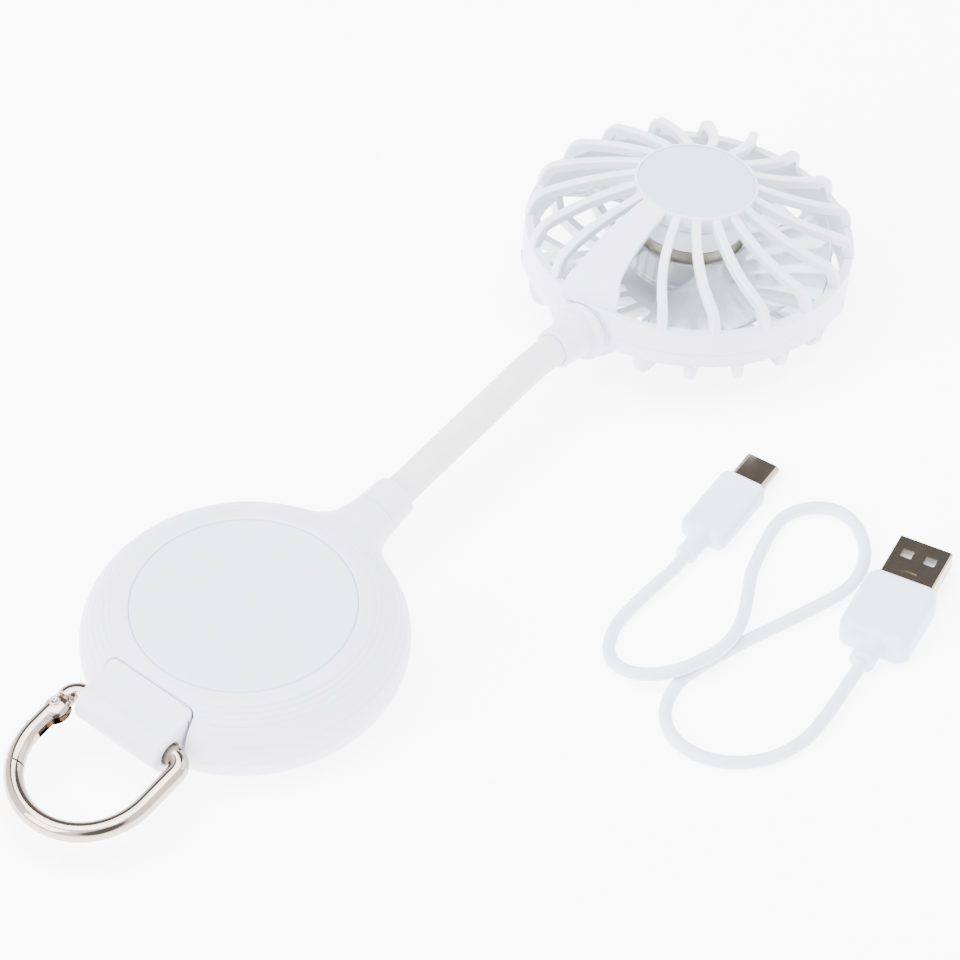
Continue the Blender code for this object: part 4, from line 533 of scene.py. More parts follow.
class Recipe:
    """The shader of one material while it is put together."""

    def __init__(self, name: str) -> None:
        """Start a material with a plain surface shader."""
        self.material = bpy.data.materials.new(name)
        self.material.use_nodes = True
        self.tree = self.material.node_tree
        self.shader = self.tree.nodes["Principled BSDF"]
        self.place = self.tree.nodes.new("ShaderNodeTexCoord").outputs["Object"]

    def fill(self, node: bpy.types.Node, **inputs: object) -> bpy.types.Node:
        """Fill a node's inputs.

        Args:
            node: The node.
            **inputs: Values or outputs, by input name with spaces as underscores.

        Returns:
            The node.
        """
        for name, value in inputs.items():
            socket = node.inputs[name.replace("_", " ")]
            if isinstance(value, Socket):
                self.tree.links.new(value, socket)
            else:
                socket.default_value = value
        return node

    def node(self, kind: str, **inputs: object) -> bpy.types.Node:
        """Add a node of a type and fill its inputs."""
        return self.fill(self.tree.nodes.new(kind), **inputs)

    def stretched(self, scale: Sequence[float]) -> Socket:
        """Give surface coordinates that are stretched along the axes."""
        return self.node("ShaderNodeMapping", Vector=self.place, Scale=scale).outputs["Vector"]

    def noise(self, scale: float, detail: float = 3.0, rough: float = 0.5,
              place: Optional[Socket] = None) -> Socket:
        """Give a noise pattern.

        Args:
            scale: Patches to the metre.
            detail: Number of finer layers.
            rough: Strength of the finer layers.
            place: Coordinates to read it at.

        Returns:
            The pattern's value.
        """
        node = self.node("ShaderNodeTexNoise", Vector=place or self.place, Scale=scale, Detail=detail,
                         Roughness=rough)
        return node.outputs["Fac"]

    def ranged(self, value: Socket, low: float, high: float, start: float = 0.3,
               end: float = 0.7) -> Socket:
        """Map a pattern to a range.

        Args:
            value: The pattern.
            low: Result where the pattern is at start.
            high: Result where it is at end.
            start: Lower value of the pattern.
            end: Higher value of the pattern.

        Returns:
            The mapped value.
        """
        node = self.node("ShaderNodeMapRange", Value=value, From_Min=start, From_Max=end, To_Min=low,
                         To_Max=high)
        return node.outputs["Result"]

    def mixed(self, share: Socket, first: Colour, second: Colour) -> Socket:
        """Mix two colours.

        Args:
            share: Share of the second colour.
            first: First colour.
            second: Second colour.

        Returns:
            The mixed colour.
        """
        node = self.tree.nodes.new("ShaderNodeMix")
        node.data_type = "RGBA"
        self.tree.links.new(share, node.inputs[0])
        node.inputs[6].default_value = (*first, 1.0)
        node.inputs[7].default_value = (*second, 1.0)
        return node.outputs[2]

    def sum(self, first: Socket, second: Socket) -> Socket:
        """Add two patterns.

        Args:
            first: First pattern.
            second: Second pattern.

        Returns:
            Their sum.
        """
        node = self.tree.nodes.new("ShaderNodeMath")
        self.tree.links.new(first, node.inputs[0])
        self.tree.links.new(second, node.inputs[1])
        return node.outputs[0]

    def raised(self, height: Socket, strength: float, distance: float) -> None:
        """Raise the surface by a pattern.

        Args:
            height: The pattern.
            strength: Share of the effect.
            distance: Height of the pattern, in metres.
        """
        node = self.node("ShaderNodeBump", Height=height, Strength=strength, Distance=distance)
        self.tree.links.new(node.outputs["Normal"], self.shader.inputs["Normal"])

    def set(self, **inputs: object) -> None:
        """Fill inputs of the surface shader."""
        self.fill(self.shader, **inputs)


@dataclass(frozen=True)
class Finish:
    """A surface finish that several pieces may share."""

    name: str

    def mix(self, recipe: Recipe) -> None:
        """Put the finish together; each kind of finish has its own way."""
        raise NotImplementedError(self.name)

    def material(self) -> bpy.types.Material:
        """Give the finish's material, made on first use.

        Returns:
            The material.
        """
        found = bpy.data.materials.get(self.name + "_finish")
        if found is None:
            recipe = Recipe(self.name + "_finish")
            self.mix(recipe)
            found = recipe.material
        return found


@dataclass(frozen=True)
class MouldedPlastic(Finish):
    """Opaque moulded plastic with a faint grain and slow changes of tone."""

    colour: Colour = (0.655, 0.65, 0.69)
    shade: Colour = (0.625, 0.62, 0.67)
    gloss: float = 0.34
    matt: float = 0.46
    patches: float = 55.0
    grain: float = 2600.0
    grain_height: float = 0.000012

    def mix(self, recipe: Recipe) -> None:
        """Mix tone, gloss and grain from noise at three sizes.

        Args:
            recipe: Shader of the material.
        """
        slow = recipe.noise(self.patches, 2.0)
        fine = recipe.noise(self.grain, 2.0, 0.6)
        tone = recipe.mixed(recipe.ranged(slow, 0.0, 1.0), self.colour, self.shade)
        wear = recipe.ranged(recipe.noise(self.patches * 7.0, 4.0, 0.6), self.gloss, self.matt)
        recipe.set(Base_Color=tone, Roughness=wear, IOR=1.49, Specular_IOR_Level=0.42)
        recipe.raised(fine, 0.5, self.grain_height)


@dataclass(frozen=True)
class SoftSleeve(Finish):
    """Matt silicone or soft cable jacket, with a skin-like grain and a little sheen."""

    colour: Colour = (0.64, 0.64, 0.63)
    shade: Colour = (0.605, 0.605, 0.595)
    roughness: float = 0.62
    grain: float = 1900.0

    def mix(self, recipe: Recipe) -> None:
        """Mix a cloudy tone with a fine, soft grain.

        Args:
            recipe: Shader of the material.
        """
        cloudy = recipe.noise(120.0, 3.0)
        grain = recipe.noise(self.grain, 3.0, 0.7)
        tone = recipe.mixed(recipe.ranged(cloudy, 0.0, 1.0), self.colour, self.shade)
        dull = recipe.ranged(cloudy, self.roughness - 0.05, self.roughness + 0.08)
        recipe.set(Base_Color=tone, Roughness=dull, Sheen_Weight=0.12, Sheen_Roughness=0.6, IOR=1.42)
        recipe.raised(grain, 0.5, 0.000018)


@dataclass(frozen=True)
class ClearPlastic(Finish):
    """See-through moulded plastic with flow marks."""

    colour: Colour = (0.70, 0.72, 0.75)
    shade: Colour = (0.60, 0.62, 0.66)
    clearness: float = 0.72
    roughness: float = 0.12

    def mix(self, recipe: Recipe) -> None:
        """Mix a faint tint with flow marks that ripple the surface.

        Args:
            recipe: Shader of the material.
        """
        flow = recipe.noise(70.0, 3.0, 0.6, recipe.stretched((1.0, 1.0, 3.0)))
        tone = recipe.mixed(recipe.ranged(flow, 0.0, 1.0), self.colour, self.shade)
        recipe.set(Base_Color=tone, Roughness=recipe.ranged(flow, self.roughness, self.roughness + 0.08),
                   Transmission_Weight=self.clearness, IOR=1.46)
        recipe.raised(flow, 0.2, 0.00003)


@dataclass(frozen=True)
class PlatedMetal(Finish):
    """Polished or satin metal with faint rubbing marks."""

    colour: Colour = (0.74, 0.71, 0.66)
    shade: Colour = (0.60, 0.57, 0.52)
    polish: float = 0.10
    wear: float = 0.22
    marks: Sequence[float] = (1.0, 1.0, 1.0)
    mark_height: float = 0.000006

    def mix(self, recipe: Recipe) -> None:
        """Mix tone and polish from stretched rubbing marks.

        Args:
            recipe: Shader of the material.
        """
        rubbed = recipe.noise(900.0, 4.0, 0.7, recipe.stretched(self.marks))
        cloudy = recipe.noise(160.0, 2.0)
        tone = recipe.mixed(recipe.ranged(cloudy, 0.0, 1.0), self.colour, self.shade)
        recipe.set(Base_Color=tone, Metallic=1.0, Roughness=recipe.ranged(rubbed, self.polish, self.wear))
        recipe.raised(rubbed, 0.4, self.mark_height)


@dataclass(frozen=True)
class CircuitBoard(Finish):
    """Lacquered board with tracks under the lacquer."""

    colour: Colour = (0.030, 0.165, 0.075)
    track: Colour = (0.060, 0.270, 0.120)

    def mix(self, recipe: Recipe) -> None:
        """Mix straight tracks and a fine weave into the lacquer.

        Args:
            recipe: Shader of the material.
        """
        bricks = recipe.node("ShaderNodeTexBrick", Vector=recipe.place, Scale=260.0, Mortar_Size=0.018,
                             Brick_Width=0.8, Row_Height=0.22)
        weave = recipe.noise(3200.0, 1.0)
        tone = recipe.mixed(bricks.outputs["Fac"], self.colour, self.track)
        recipe.set(Base_Color=tone, Roughness=recipe.ranged(weave, 0.30, 0.42), Coat_Weight=0.4)
        recipe.raised(recipe.sum(bricks.outputs["Fac"], weave), 0.4, 0.00002)


@dataclass(frozen=True)
class WoundWire(Finish):
    """Enamelled copper wire, wound in fine turns."""

    colour: Colour = (0.62, 0.27, 0.11)
    shade: Colour = (0.40, 0.15, 0.06)

    def mix(self, recipe: Recipe) -> None:
        """Mix fine turns of wire along the height of the part.

        Args:
            recipe: Shader of the material.
        """
        turns = recipe.node("ShaderNodeTexWave", Vector=recipe.place, Scale=900.0, Distortion=1.2, Detail=1.0)
        turns.bands_direction = "Z"
        tone = recipe.mixed(turns.outputs["Fac"], self.shade, self.colour)
        recipe.set(Base_Color=tone, Metallic=0.8, Roughness=recipe.ranged(recipe.noise(700.0), 0.25, 0.45))
        recipe.raised(turns.outputs["Fac"], 0.6, 0.00006)


SHELL = MouldedPlastic("shell_white")
# Painted shade: the round panel is the shell's plastic, coloured darker so that its flat top looks shaded.
PANEL_PAINTED_SHADE = MouldedPlastic("panel_white_painted_shade", (0.62, 0.62, 0.665), (0.59, 0.59, 0.645), 0.40, 0.52)
# Painted shade: the hub plates are white satin plastic, coloured grey so that their flat faces look shaded.
HUB_PAINTED_SHADE = MouldedPlastic("hub_satin_painted_shade", (0.55, 0.55, 0.60), (0.52, 0.52, 0.57), 0.46, 0.58, grain=3400.0)
GRIP = MouldedPlastic("plug_grip", (0.62, 0.64, 0.72), (0.595, 0.615, 0.70), 0.42, 0.54)
KEY = MouldedPlastic("key_cap", (0.74, 0.74, 0.75), (0.70, 0.70, 0.72), 0.36, 0.5)
TONGUE = MouldedPlastic("plug_tongue", (0.62, 0.62, 0.60), (0.52, 0.52, 0.50), 0.4, 0.6)
BLACK = MouldedPlastic("black_housing", (0.030, 0.030, 0.032), (0.018, 0.018, 0.020), 0.42, 0.60)
SLEEVE = SoftSleeve("neck_silicone")
JACKET = SoftSleeve("cord_jacket", (0.645, 0.655, 0.70), (0.61, 0.62, 0.67), 0.5, 2600.0)
CLEAR = ClearPlastic("clear_wheel")
LENS = ClearPlastic("lens_clear", (0.90, 0.91, 0.92), (0.84, 0.86, 0.88), clearness=0.75)
# Painted reflection: the nickel is coloured dark brown so that it shows dark reflections of its surroundings.
NICKEL = PlatedMetal("nickel_painted_reflection", (0.40, 0.33, 0.26), (0.34, 0.28, 0.22), 0.06, 0.10)
# Painted reflection: the plug and port shells are coloured dark brown so that they show dark reflections.
PLUG_METAL_PAINTED_REFLECTION = PlatedMetal("plug_metal_painted_reflection", (0.31, 0.265, 0.20), (0.28, 0.24, 0.18), 0.12, 0.16, (0.3, 1.0, 1.0))
CAN_METAL = PlatedMetal("rotor_metal", (0.27, 0.26, 0.20), (0.20, 0.19, 0.145), 0.5, 0.62, (1.0, 1.0, 0.1))
SCREW_STEEL = PlatedMetal("screw_steel", (0.50, 0.50, 0.48), (0.38, 0.38, 0.37), 0.24, 0.4)
SPRING_STEEL = PlatedMetal("spring_steel", (0.42, 0.42, 0.41), (0.30, 0.30, 0.30), 0.2, 0.3)
CELL_WRAP = PlatedMetal("cell_wrap", (0.58, 0.60, 0.64), (0.48, 0.50, 0.55), 0.30, 0.45)
MAGNET = PlatedMetal("magnet_black", (0.10, 0.10, 0.10), (0.06, 0.06, 0.06), 0.4, 0.6)
BUSH_BRONZE = PlatedMetal("bush_bronze", (0.50, 0.36, 0.18), (0.38, 0.26, 0.12), 0.3, 0.5)
BOARD = CircuitBoard("green_board")
WINDING = WoundWire("copper_winding")


# Studio


def hang(obj: Piece, spot: Sequence[float], aim: Sequence[float]) -> None:
    """Put a lamp or camera at a spot and turn it towards another one.

    Args:
        obj: The lamp or camera.
        spot: Where it goes, in metres.
        aim: Where it looks.
    """
    obj.location = spot
    obj.rotation_mode = "QUATERNION"
    obj.rotation_quaternion = (Vector(aim) - Vector(spot)).to_track_quat("-Z", "Y")
    bpy.context.scene.collection.objects.link(obj)


@dataclass(frozen=True)
class SoftBox:
    """A square light that points at one spot."""

    name: str
    place: Sequence[float]
    aim: Sequence[float]
    size: float
    power: float
    colour: Colour = (1.0, 1.0, 1.0)

    def build(self) -> None:
        """Hang the light."""
        data = bpy.data.lights.new(self.name, "AREA")
        data.shape = "SQUARE"
        data.size = self.size
        data.energy = self.power
        data.color = self.colour
        hang(bpy.data.objects.new(self.name, data), self.place, self.aim)


@dataclass
class Studio:
    """A pale floor, soft light and the camera of the photograph."""

    camera_place: Sequence[float] = (-0.40071, -0.40540, 0.66325)
    camera_aim: Sequence[float] = (0.0716, -0.0020, 0.0)
    lens: float = 158.45
    sensor: float = 36.0
    nearest: float = 0.01
    farthest: float = 20.0
    floor_rings: tuple[float, ...] = (0.0, 0.25, 0.6, 1.2, 3.0)
    floor_top: float = -0.02
    floor_sides: int = 96
    floor_tones: tuple[Colour, Colour] = ((0.93, 0.93, 0.93), (0.91, 0.91, 0.92))
    floor_glow: float = 4.6
    surround: float = 4.2
    tint: Sequence[float] = (0.90, 0.90, 1.0, 1.0)
    flag_light: float = 0.42
    flags: tuple[tuple[Sequence[float], Pair], ...] = (((0.52, 0.44, 0.73), (0.74, 0.86)),
                                                       ((-0.60, -0.62, 0.50), (0.86, 0.95)))
    lamps: tuple[SoftBox, ...] = (
        SoftBox("top_light", (0.05, 0.15, 1.5), (0.07, 0.0, 0.0), 1.5, 92.0, (0.93, 0.94, 1.0)),
        SoftBox("left_light", (-1.3, 0.5, 0.9), (0.07, 0.0, 0.0), 1.0, 42.0, (0.97, 0.98, 1.0)),
        SoftBox("right_light", (1.2, -0.7, 0.8), (0.07, 0.0, 0.0), 1.0, 8.0, (1.0, 0.99, 0.98)),
    )

    def build_camera(self) -> None:
        """Set up the camera at the photograph's place."""
        data = bpy.data.cameras.new("photo_camera")
        data.lens = self.lens
        data.sensor_width = self.sensor
        data.clip_start = self.nearest
        data.clip_end = self.farthest
        camera = bpy.data.objects.new("photo_camera", data)
        hang(camera, self.camera_place, self.camera_aim)
        bpy.context.scene.camera = camera

    def build_floor(self) -> None:
        """Lay the pale floor."""
        skin = Skin()
        skin.turn([(radius / MM, self.floor_top) for radius in self.floor_rings], self.floor_sides)
        floor = skin.piece("studio_floor", level_normals=False)
        recipe = Recipe("studio_floor_finish")
        haze = recipe.noise(6.0, 2.0)
        tone = recipe.mixed(recipe.ranged(haze, 0.0, 1.0), *self.floor_tones)
        recipe.set(Base_Color=tone, Roughness=recipe.ranged(haze, 0.75, 0.85), Specular_IOR_Level=0.2,
                   Emission_Color=tone, Emission_Strength=self.floor_glow)
        recipe.raised(recipe.noise(800.0), 0.1, 0.00001)
        floor.data.materials.append(recipe.material)

    def build_light(self) -> None:
        """Set the surrounding light and hang the lamps."""
        world = bpy.data.worlds.new("studio_surround")
        world.use_nodes = True
        tree = world.node_tree
        way = tree.nodes.new("ShaderNodeTexCoord").outputs["Generated"]
        level = None
        for aim, (start, full) in self.flags:
            facing = tree.nodes.new("ShaderNodeVectorMath")
            facing.operation = "DOT_PRODUCT"
            facing.inputs[1].default_value = Vector(aim).normalized()
            tree.links.new(way, facing.inputs[0])
            shade = tree.nodes.new("ShaderNodeMapRange")
            shade.interpolation_type = "SMOOTHSTEP"
            for name, value in (("From Min", start), ("From Max", full), ("To Min", self.surround),
                                ("To Max", self.flag_light)):
                shade.inputs[name].default_value = value
            tree.links.new(facing.outputs["Value"], shade.inputs["Value"])
            if level is None:
                level = shade.outputs["Result"]
                continue
            darker = tree.nodes.new("ShaderNodeMath")
            darker.operation = "MINIMUM"
            tree.links.new(level, darker.inputs[0])
            tree.links.new(shade.outputs["Result"], darker.inputs[1])
            level = darker.outputs["Value"]
        tree.links.new(level, tree.nodes["Background"].inputs["Strength"])
        tree.nodes["Background"].inputs["Color"].default_value = self.tint
        bpy.context.scene.world = world
        for lamp in self.lamps:
            lamp.build()

    def build(self) -> None:
        """Build camera, floor and light."""
        self.build_camera()
        self.build_floor()
        self.build_light()
        LOG.info("studio: camera, floor and %d lamps", len(self.lamps))


# Loose charging lead


@dataclass
class Plug:
    """A moulded grip with a strain relief, a metal shell and the contact tongue inside it."""

    name: str
    origin: Sequence[float]
    turn_deg: float
    grip_length: float
    grip_width: float
    grip_height: float
    grip_corner: float
    grip_edge: float
    relief_length: float
    relief_root: float
    relief_end: float
    shell_width: float
    shell_height: float
    shell_corner: float
    shell_wall: float
    shell_reach: float
    core_width: float
    core_height: float
    core_lift: float = 0.0
    latch_holes: bool = False
    socket_depth: float = 3.7
    edge_steps: int = 7
    relief_flare: float = 0.5
    relief_step: float = 0.6
    end_ring_length: float = 1.8
    end_ring_rise: float = 0.2
    end_ring_seam: float = 0.08
    tip_rounding: float = 0.12
    latch_back: float = 4.4
    latch_side: float = 2.6
    latch_half: Pair = (1.1, 1.25)
    latch_corner: float = 0.15
    dimple_place: float = 1.9
    dimple_half: Pair = (0.45, 1.65)
    dimple_corner: float = 0.42
    dimple_depth: float = 0.16
    cutter_reach: float = 3.0

    def axes(self) -> Matrix:
        """Give the plug's own axes, with local X along the plug towards its tip."""
        return Matrix.Translation(Vector(self.origin)) @ Matrix.Rotation(math.radians(self.turn_deg), 4, "Z")

    def point(self, along: float) -> Vector:
        """Give a point on the plug's middle line."""
        return self.axes() @ Vector((along, 0.0, 0.0))

    def build_grip(self) -> Piece:
        """Model the grip and its two-step strain relief.

        Returns:
            The dressed grip.
        """
        skin = Skin()
        half = self.grip_height / 2.0
        section = rounded_box_section(self.grip_length / 2.0, self.grip_width / 2.0, self.grip_corner, 8)
        plan = [(x + self.grip_length / 2.0, y) for x, y in section]
        turns = quarter(self.edge_steps)
        low = [(self.grip_edge * (1.0 - math.cos(turn)) - half, self.grip_edge * (1.0 - math.sin(turn)))
               for turn in turns]
        skin.bar(plan, low + [(-height, depth) for height, depth in reversed(low)], Axis.Z)
        skin.turn(self.relief_profile(), 48, axes=Matrix.Rotation(-math.pi / 2.0, 4, "Y"))
        grip = skin.piece(f"{self.name}_grip", self.axes(), 50.0)
        return place(grip, GRIP, Body.LEAD, Slot.SHELL, [f"{self.name}_grip"])

    def relief_profile(self) -> list[Pair]:
        """List the strain relief's (radius, height) points, from inside the grip to its end ring.

        Returns:
            The profile.
        """
        root, end, length, step = self.relief_root, self.relief_end, self.relief_length, self.relief_step
        seam, rise = end - self.end_ring_seam, end + self.end_ring_rise
        profile = [(0.0, -1.0), (root + self.relief_flare, -1.0), (root + 0.12, 0.2), (root, step)]
        profile += [(root - (root - end) * share, step + (length - step - self.end_ring_length) * share)
                    for share in spread(0.0, 1.0, 6)[1:]]
        return profile + [(seam, length - 1.7), (seam, length - 1.62), (rise - 0.06, length - 1.5),
                          (rise, length - 1.3), (rise, length - 0.35), (end + 0.08, length - 0.1),
                          (end - 0.2, length), (0.0, length)]

    def build_shell(self) -> Piece:
        """Model the folded metal shell, open at its tip.

        Returns:
            The dressed shell.
        """
        outline = rounded_box_section(self.shell_width / 2.0, self.shell_height / 2.0, self.shell_corner, 8)
        tip = self.grip_length + self.shell_reach
        back = self.grip_length - self.socket_depth
        wall, rounding = self.shell_wall, self.tip_rounding
        skin = Skin()
        skin.bar(outline, [(back, 0.0), (tip - rounding, 0.0), (tip - 0.03, 0.04), (tip, 0.11),
                           (tip, wall - 0.11), (tip - 0.03, wall - 0.04), (tip - rounding, wall),
                           (back + 2.0 * wall, wall)])
        shell = skin.piece(f"{self.name}_shell", self.axes(), 30.0)
        if self.latch_holes:
            carve(shell, self.shell_cutters(tip), crease_deg=30.0)
        return place(shell, PLUG_METAL_PAINTED_REFLECTION, Body.LEAD, Slot.NICKEL, [f"{self.name}_shell"])

    def shell_cutters(self, tip: float) -> list[Piece]:
        """Make the cutters of the two latch holes and of the dimple across the shell.

        Args:
            tip: Place of the shell's tip along the plug.

        Returns:
            The cutters.
        """
        hole = rounded_box_section(*self.latch_half, self.latch_corner, 3)
        dimple = rounded_box_section(*self.dimple_half, self.dimple_corner, 5)
        top = self.shell_height / 2.0 - self.dimple_depth
        through = -self.cutter_reach
        spots = [("latch_hole", hole, tip - self.latch_back, side * self.latch_side, through)
                 for side in (-1.0, 1.0)]
        spots.append(("seam_dimple", dimple, self.grip_length + self.dimple_place, 0.0, top))
        cutters = []
        for name, section, along, side, low in spots:
            skin = Skin()
            outline = [(x + along, y + side) for x, y in section]
            skin.bar(outline, [(low, 0.0), (self.cutter_reach, 0.0)], Axis.Z)
            cutters.append(skin.piece(name, self.axes()))
        return cutters

    def build_core(self) -> Piece:
        """Model the contact tongue.

        Returns:
            The dressed tongue.
        """
        back = self.grip_length - self.socket_depth + 2.0 * self.shell_wall + 0.3
        tip = self.grip_length + self.shell_reach - 2.0 * self.shell_wall
        corner = self.core_height * 0.25
        outline = rounded_box_section(self.core_width / 2.0, self.core_height / 2.0, corner, 3)
        skin = Skin()
        skin.bar(outline, [(back, 0.0), (tip - 0.2, 0.0), (tip - 0.06, 0.05), (tip, 0.16)], Axis.X,
                 self.core_lift)
        core = skin.piece(f"{self.name}_core", self.axes())
        return place(core, TONGUE, Body.LEAD, Slot.HUB_PLATE, [f"{self.name}_core"])

    def build(self) -> list[Piece]:
        """Build the plug's pieces.

        Returns:
            Grip, shell and tongue.
        """
        return [self.build_grip(), self.build_shell(), self.build_core()]


CORD_POINTS = (
    (71.0, -50.8, 2.1), (64.0, -50.7, 1.6), (57.2, -51.4, 1.5), (51.9, -53.9, 1.5), (49.1, -57.4, 1.8),
    (48.6, -61.9, 2.7), (50.0, -66.2, 3.8), (53.7, -69.9, 4.5), (58.5, -72.1, 4.7), (63.7, -73.4, 4.7),
    (69.4, -73.0, 4.4), (76.0, -70.4, 3.1), (82.6, -66.5, 2.0), (88.7, -63.1, 1.5), (100.5, -59.4, 1.5),
    (106.2, -59.7, 1.5), (110.7, -62.5, 1.5), (113.1, -66.9, 1.5), (112.3, -72.3, 1.5), (108.6, -77.3, 1.5),
    (103.5, -80.5, 1.5), (97.9, -81.6, 1.5), (92.0, -80.8, 1.5), (79.5, -77.0, 1.5), (68.3, -73.6, 1.5),
    (56.5, -71.1, 1.5), (50.6, -71.6, 1.5), (45.6, -73.9, 1.5), (42.3, -77.7, 1.5), (41.0, -82.5, 1.5),
    (41.7, -87.7, 1.5), (44.4, -92.7, 1.5), (48.9, -96.8, 1.5), (54.8, -99.3, 1.6), (61.8, -100.2, 2.2))


@dataclass
class ChargingLead:
    """A limp cord that lies in loops, with a slim plug at one end and a wide plug at the other."""

    diameter: float = 2.8
    length: float = 250.0
    relief_overlap: float = 0.35
    straight_run: float = 4.5
    straight_gap: float = 0.3
    spline_steps: int = 8
    slim: Plug = field(default_factory=lambda: Plug(
        "slim_plug", origin=(87.2, -49.8, 2.5), turn_deg=7.0, grip_length=19.2, grip_width=10.8,
        grip_height=4.8, grip_corner=2.2, grip_edge=1.5, relief_length=5.9, relief_root=2.38, relief_end=2.15,
        shell_width=8.25, shell_height=2.4, shell_corner=1.19, shell_wall=0.3, shell_reach=6.9,
        core_width=6.2, core_height=0.7))
    wide: Plug = field(default_factory=lambda: Plug(
        "wide_plug", origin=(85.4, -96.1, 3.8), turn_deg=13.7, grip_length=18.4, grip_width=15.8,
        grip_height=7.4, grip_corner=2.8, grip_edge=1.8, relief_length=5.0, relief_root=2.95, relief_end=2.6,
        shell_width=12.0, shell_height=4.5, shell_corner=0.5, shell_wall=0.35, shell_reach=11.3,
        core_width=10.4, core_height=1.8, core_lift=-0.7, latch_holes=True))

    def route(self) -> list[Vector]:
        """List the dense centreline from the slim plug to the wide plug, in millimetres.

        Returns:
            Points of the centreline.
        """
        ends = []
        for plug in (self.slim, self.wide):
            straight = plug.point(-self.straight_gap - plug.relief_length - self.straight_run)
            ends.append((plug.point(self.relief_overlap - plug.relief_length), straight))
        middle = [Vector(point) for point in CORD_POINTS]
        return smooth_path([*ends[0], *middle, *reversed(ends[1])], self.spline_steps)

    def build(self) -> None:
        """Build the plugs and the cord."""
        pieces = self.slim.build() + self.wide.build()
        route = self.route()
        data = bpy.data.curves.new("lead_cord", "CURVE")
        data.dimensions = "3D"
        data.bevel_depth = self.diameter / 2.0 * MM
        data.bevel_resolution = 8
        data.use_fill_caps = True
        spline = data.splines.new("POLY")
        spline.points.add(len(route) - 1)
        for point, spot in zip(spline.points, route):
            point.co = (*(spot * MM), 1.0)
        spline.use_smooth = True
        cord = bpy.data.objects.new("lead_cord_jacket", data)
        bpy.context.scene.collection.objects.link(cord)
        place(cord, JACKET, Body.LEAD, Slot.SOFT, ["lead_cord"])
        run = sum((after - before).length for before, after in zip(route, route[1:]))
        LOG.info("cord: %.1f mm along its middle", run)


# Battery base


def soft_union(first: np.ndarray, second: np.ndarray, reach: float) -> np.ndarray:
    """Join two distance fields with a soft fillet.

    Args:
        first: Distances to the first body.
        second: Distances to the second body.
        reach: Size of the fillet.

    Returns:
        Distances to the joined body.
    """
    share = np.clip(0.5 + 0.5 * (second - first) / reach, 0.0, 1.0)
    return second * (1.0 - share) + first * share - reach * share * (1.0 - share)


@dataclass(frozen=True)
class UndersidePlan:
    """Where the button, the lens, the screws and the charging port sit in the base."""

    button: float = 14.0
    lens: float = -12.0
    screw_circle: float = 21.0
    screws: int = 4
    first_screw_deg: float = 45.0
    port_height: float = 7.7

    def seats(self) -> list[Matrix]:
        """List the places of the screws.

        Returns:
            Axes at each screw's middle, on the underside.
        """
        seats = []
        for index in range(self.screws):
            turn = math.radians(self.first_screw_deg + 360.0 / self.screws * index)
            spot = (self.screw_circle * math.cos(turn), self.screw_circle * math.sin(turn), 0.0)
            seats.append(Matrix.Translation(spot))
        return seats


